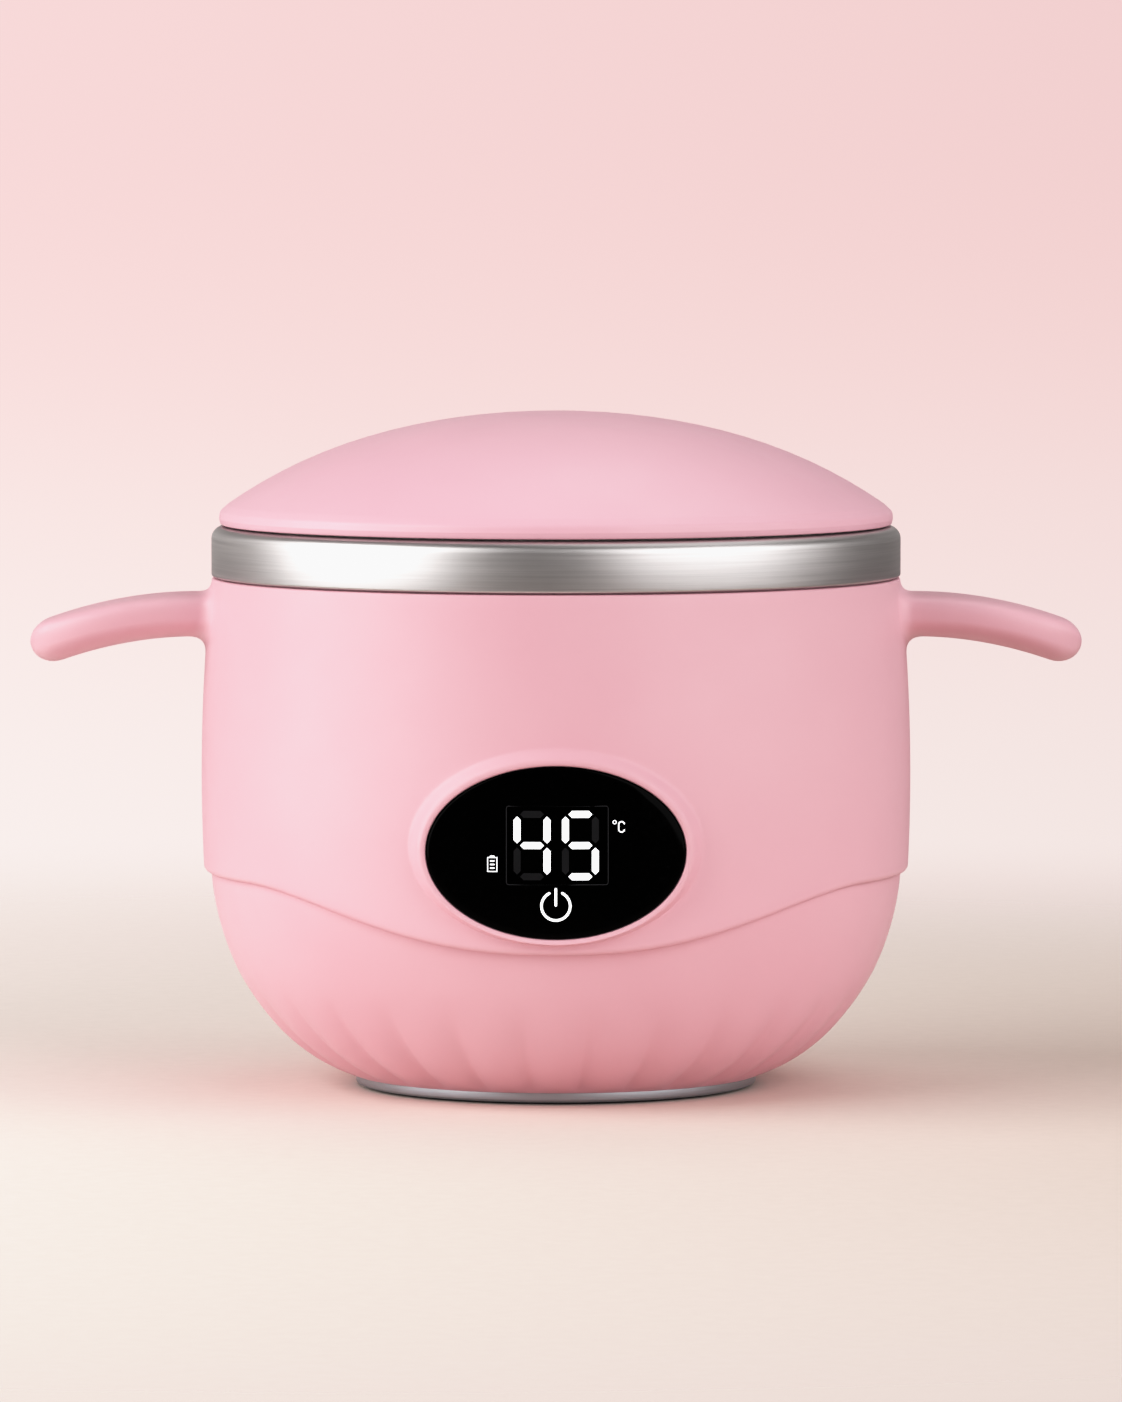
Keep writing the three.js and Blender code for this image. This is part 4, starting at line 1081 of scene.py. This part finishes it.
# ---- CAD nodes that keep their shape
INSIDE_LOOKS = (  # material, then the start of each node's name
    (FELT, "insulation_jacket"),
    (FOIL, "heater_film"),
    (STEEL_FACE, "heater_clamp"),
    (SCREW_STEEL, "sensor_spring", "touch_spring", "usb_socket", "base_screw", "board_screw", "plate_screw"),
    (BLACK, "sensor_bracket", "battery_holder", "buzzer"),
    (FOOT_SKIN, "lens_gasket"),
    (LINER, "thermal_fuse", "battery_icon_led", "unit_icon_led"),
    (BOARD, "display_board", "main_board", "port_board"),
    (CHIP, "controller_chip", "charger_chip", "power_inductor"),
    (CELL, "battery_cell"),
    (UNLIT, "digit_module"),
    (WIRE, "battery_lead", "heater_lead", "port_lead"),
    (RIBBON, "display_ribbon"),
)


def dress_inside():
    for material, *starts in INSIDE_LOOKS:
        for name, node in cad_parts.items():
            if name.startswith(tuple(starts)):
                node.data.materials.clear()
                node.data.materials.append(material)


# ---- studio
CAMERA_DISTANCE = 1.6
CAMERA_HEIGHT = 0.175
CAMERA_DROP = math.radians(3.775)
CAMERA_LENS = 227.7
FLOOR_FADE = (0.1, 0.56)  # metres from the middle
FLOOR_PAINTED_SHADE_REACH = 0.13  # painted light on the floor's left and painted shade on its right spread over this far to each side
CONTRAST = ((0, 0), (0.1, 0.07), (0.25, 0.21), (0.5, 0.5), (0.7, 0.72), (0.9, 0.9), (1.15, 0.985), (2, 1))
ROOM_LOW = -0.12
ROOM_STOPS = (  # sine of the angle above the horizon, colour of the room there
    (-0.12, rgb(234, 219, 213)),
    (-0.1, rgb(245, 231, 227)),
    (-0.08, rgb(252, 237, 234)),
    (-0.043, rgb(252, 224, 222)),
    (-0.02, rgb(250, 214, 213)),
    (0.0, rgb(248, 211, 211)),
    (0.1, rgb(248, 213, 213)),
)
LIGHT_TARGET = Vector((0, 0, 0.06))


def camera():
    data = bpy.data.cameras.new("camera")
    data.lens = CAMERA_LENS
    data.sensor_width = 36
    data.clip_end = 20
    eye = bpy.data.objects.new("camera", data)
    eye.location = (0.0009, -CAMERA_DISTANCE, CAMERA_HEIGHT)
    eye.rotation_euler = (math.pi / 2 - CAMERA_DROP, 0, 0)
    bpy.context.scene.collection.objects.link(eye)
    bpy.context.scene.camera = eye


def floor():
    """Pale floor round the object that melts into the surroundings before its edge shows."""
    n = Nodes("floor_paper")
    parts = n.add("ShaderNodeSeparateXYZ", {"Vector": n.place()}).outputs
    far = n.axis_distance(parts)
    speck = n.noise(300.0)
    # Painted light and shade: the floor is lighter to the left, where the key light falls, and darker to the
    # right, where the object's shadow falls.
    across = n.span(parts["X"], -FLOOR_PAINTED_SHADE_REACH, FLOOR_PAINTED_SHADE_REACH)
    painted_light_shade_paper = n.mix(across, rgb(247, 236, 229), rgb(222, 207, 198))
    n.set(Base_Color=n.mix(n.span(speck, 0.3, 0.7, 0.0, 0.04), painted_light_shade_paper, rgb(150, 140, 134)))
    fade = {"Value": far, "From Min": FLOOR_FADE[0], "From Max": FLOOR_FADE[1], "To Min": 1.0, "To Max": 0.0}
    melt = n.add("ShaderNodeMapRange", fade, interpolation_type="SMOOTHSTEP").outputs["Result"]
    n.set(Roughness=n.span(speck, 0.3, 0.7, 0.85, 0.95), Alpha=melt)
    n.set(Specular_IOR_Level=0.1)
    radius, count = FLOOR_FADE[1] / MM, 96
    points = [(radius * math.cos(a), radius * math.sin(a), 0) for a in np.arange(count) * TURN / count]
    make_mesh("floor", points, [tuple(range(count))], n.material)


def soft_light(name, place, size, power, colour):
    data = bpy.data.lights.new(name, "AREA")
    data.shape = "RECTANGLE"
    data.size, data.size_y = size
    data.energy = power
    data.color = colour
    lamp = bpy.data.objects.new(name, data)
    lamp.location = place
    aim = LIGHT_TARGET - Vector(place)
    lamp.rotation_euler = aim.to_track_quat("-Z", "Y").to_euler()
    bpy.context.scene.collection.objects.link(lamp)


def from_azimuth(azimuth, elevation):
    """Place 1 m from the lights' target; azimuth 0 is straight in front and 90 is to the right."""
    a, e = math.radians(azimuth), math.radians(elevation)
    away = Vector((math.sin(a) * math.cos(e), -math.cos(a) * math.cos(e), math.sin(e)))
    return LIGHT_TARGET + away


def lighting():
    """Large softbox on each side, the left one stronger, and a soft one overhead."""
    soft_light("key", from_azimuth(-68, 21), (1.2, 1.1), 13.6, (1.0, 0.99, 0.98))
    soft_light("fill", from_azimuth(49, 20), (1.1, 0.9), 8.0, (1.0, 0.985, 0.98))
    soft_light("side_fill", from_azimuth(88, 14), (0.4, 0.6), 0.7, (1.0, 0.985, 0.98))
    soft_light("top", (0.25, 0.2, 1.0), (1.1, 0.8), 3.2, (1.0, 0.99, 0.98))


def surroundings():
    """A pale pink room as seen, and the even light that it gives: more from the left and the back."""
    world = bpy.data.worlds.new("studio_room")
    n = Nodes("studio_room", world)
    place = n.add("ShaderNodeTexCoord").outputs["Generated"]
    parts = n.add("ShaderNodeSeparateXYZ", {"Vector": place}).outputs
    ramp = n.add("ShaderNodeValToRGB", {"Fac": n.span(parts["Z"], ROOM_LOW, 1.0)})
    ramp.color_ramp.interpolation = "B_SPLINE"
    while len(ramp.color_ramp.elements) < len(ROOM_STOPS):
        ramp.color_ramp.elements.new(0.5)
    for element, (z, colour) in zip(ramp.color_ramp.elements, ROOM_STOPS):
        element.position = (z - ROOM_LOW) / (1 - ROOM_LOW)
        element.color = colour
    sideways = n.span(parts["X"], -1.0, 1.0, 0.5, 0.2)
    level = n.math("MULTIPLY", sideways, n.span(parts["Y"], -1.0, 1.0, 0.25, 1.3))
    for low, high, at_low, at_high in ((0.2, 1.0, 1.0, 0.5), (-0.3, 0.0, 0.0, 0.9)):
        level = n.math("MULTIPLY", level, n.span(parts["Z"], low, high, at_low, at_high))
    # Painted light and shade on the seen room: a touch brighter to the left and darker to the right, as the
    # key light from the left falls on it.
    across = n.span(parts["X"], -0.07, 0.07, 1.03, 0.93)
    seen = n.add("ShaderNodeBackground", {"Color": ramp.outputs["Color"], "Strength": across})
    light = n.add("ShaderNodeBackground", {"Color": (1.0, 0.94, 0.91, 1.0), "Strength": level})
    to_camera = n.add("ShaderNodeLightPath").outputs["Is Camera Ray"]
    both = n.add("ShaderNodeMixShader", {0: to_camera, 1: light.outputs[0], 2: seen.outputs[0]})
    n.feed(n.tree.nodes["World Output"].inputs["Surface"], both.outputs[0])
    bpy.context.scene.world = world


def print_curve():
    """Photographic contrast: a short toe, and a shoulder that holds the brightest pinks."""
    settings = bpy.context.scene.view_settings
    settings.view_transform = "Standard"
    settings.use_curve_mapping = True
    mapping = settings.curve_mapping
    mapping.clip_max_x, mapping.clip_max_y = 2.0, 1.0
    mapping.extend = "HORIZONTAL"
    master = mapping.curves[3]
    for x, y in CONTRAST[1:-1]:
        master.points.new(x, y)
    for point, (x, y) in zip(master.points, CONTRAST):
        point.location = (x, y)
    mapping.update()


# ---- build
print_curve()
camera()
floor()
lighting()
surroundings()
upper_housing()
lower_housing()
inner_bowl()
lid_cover()
lid_inside()
well()
base()
lens()
display_face()
port_cover()
dress_inside()
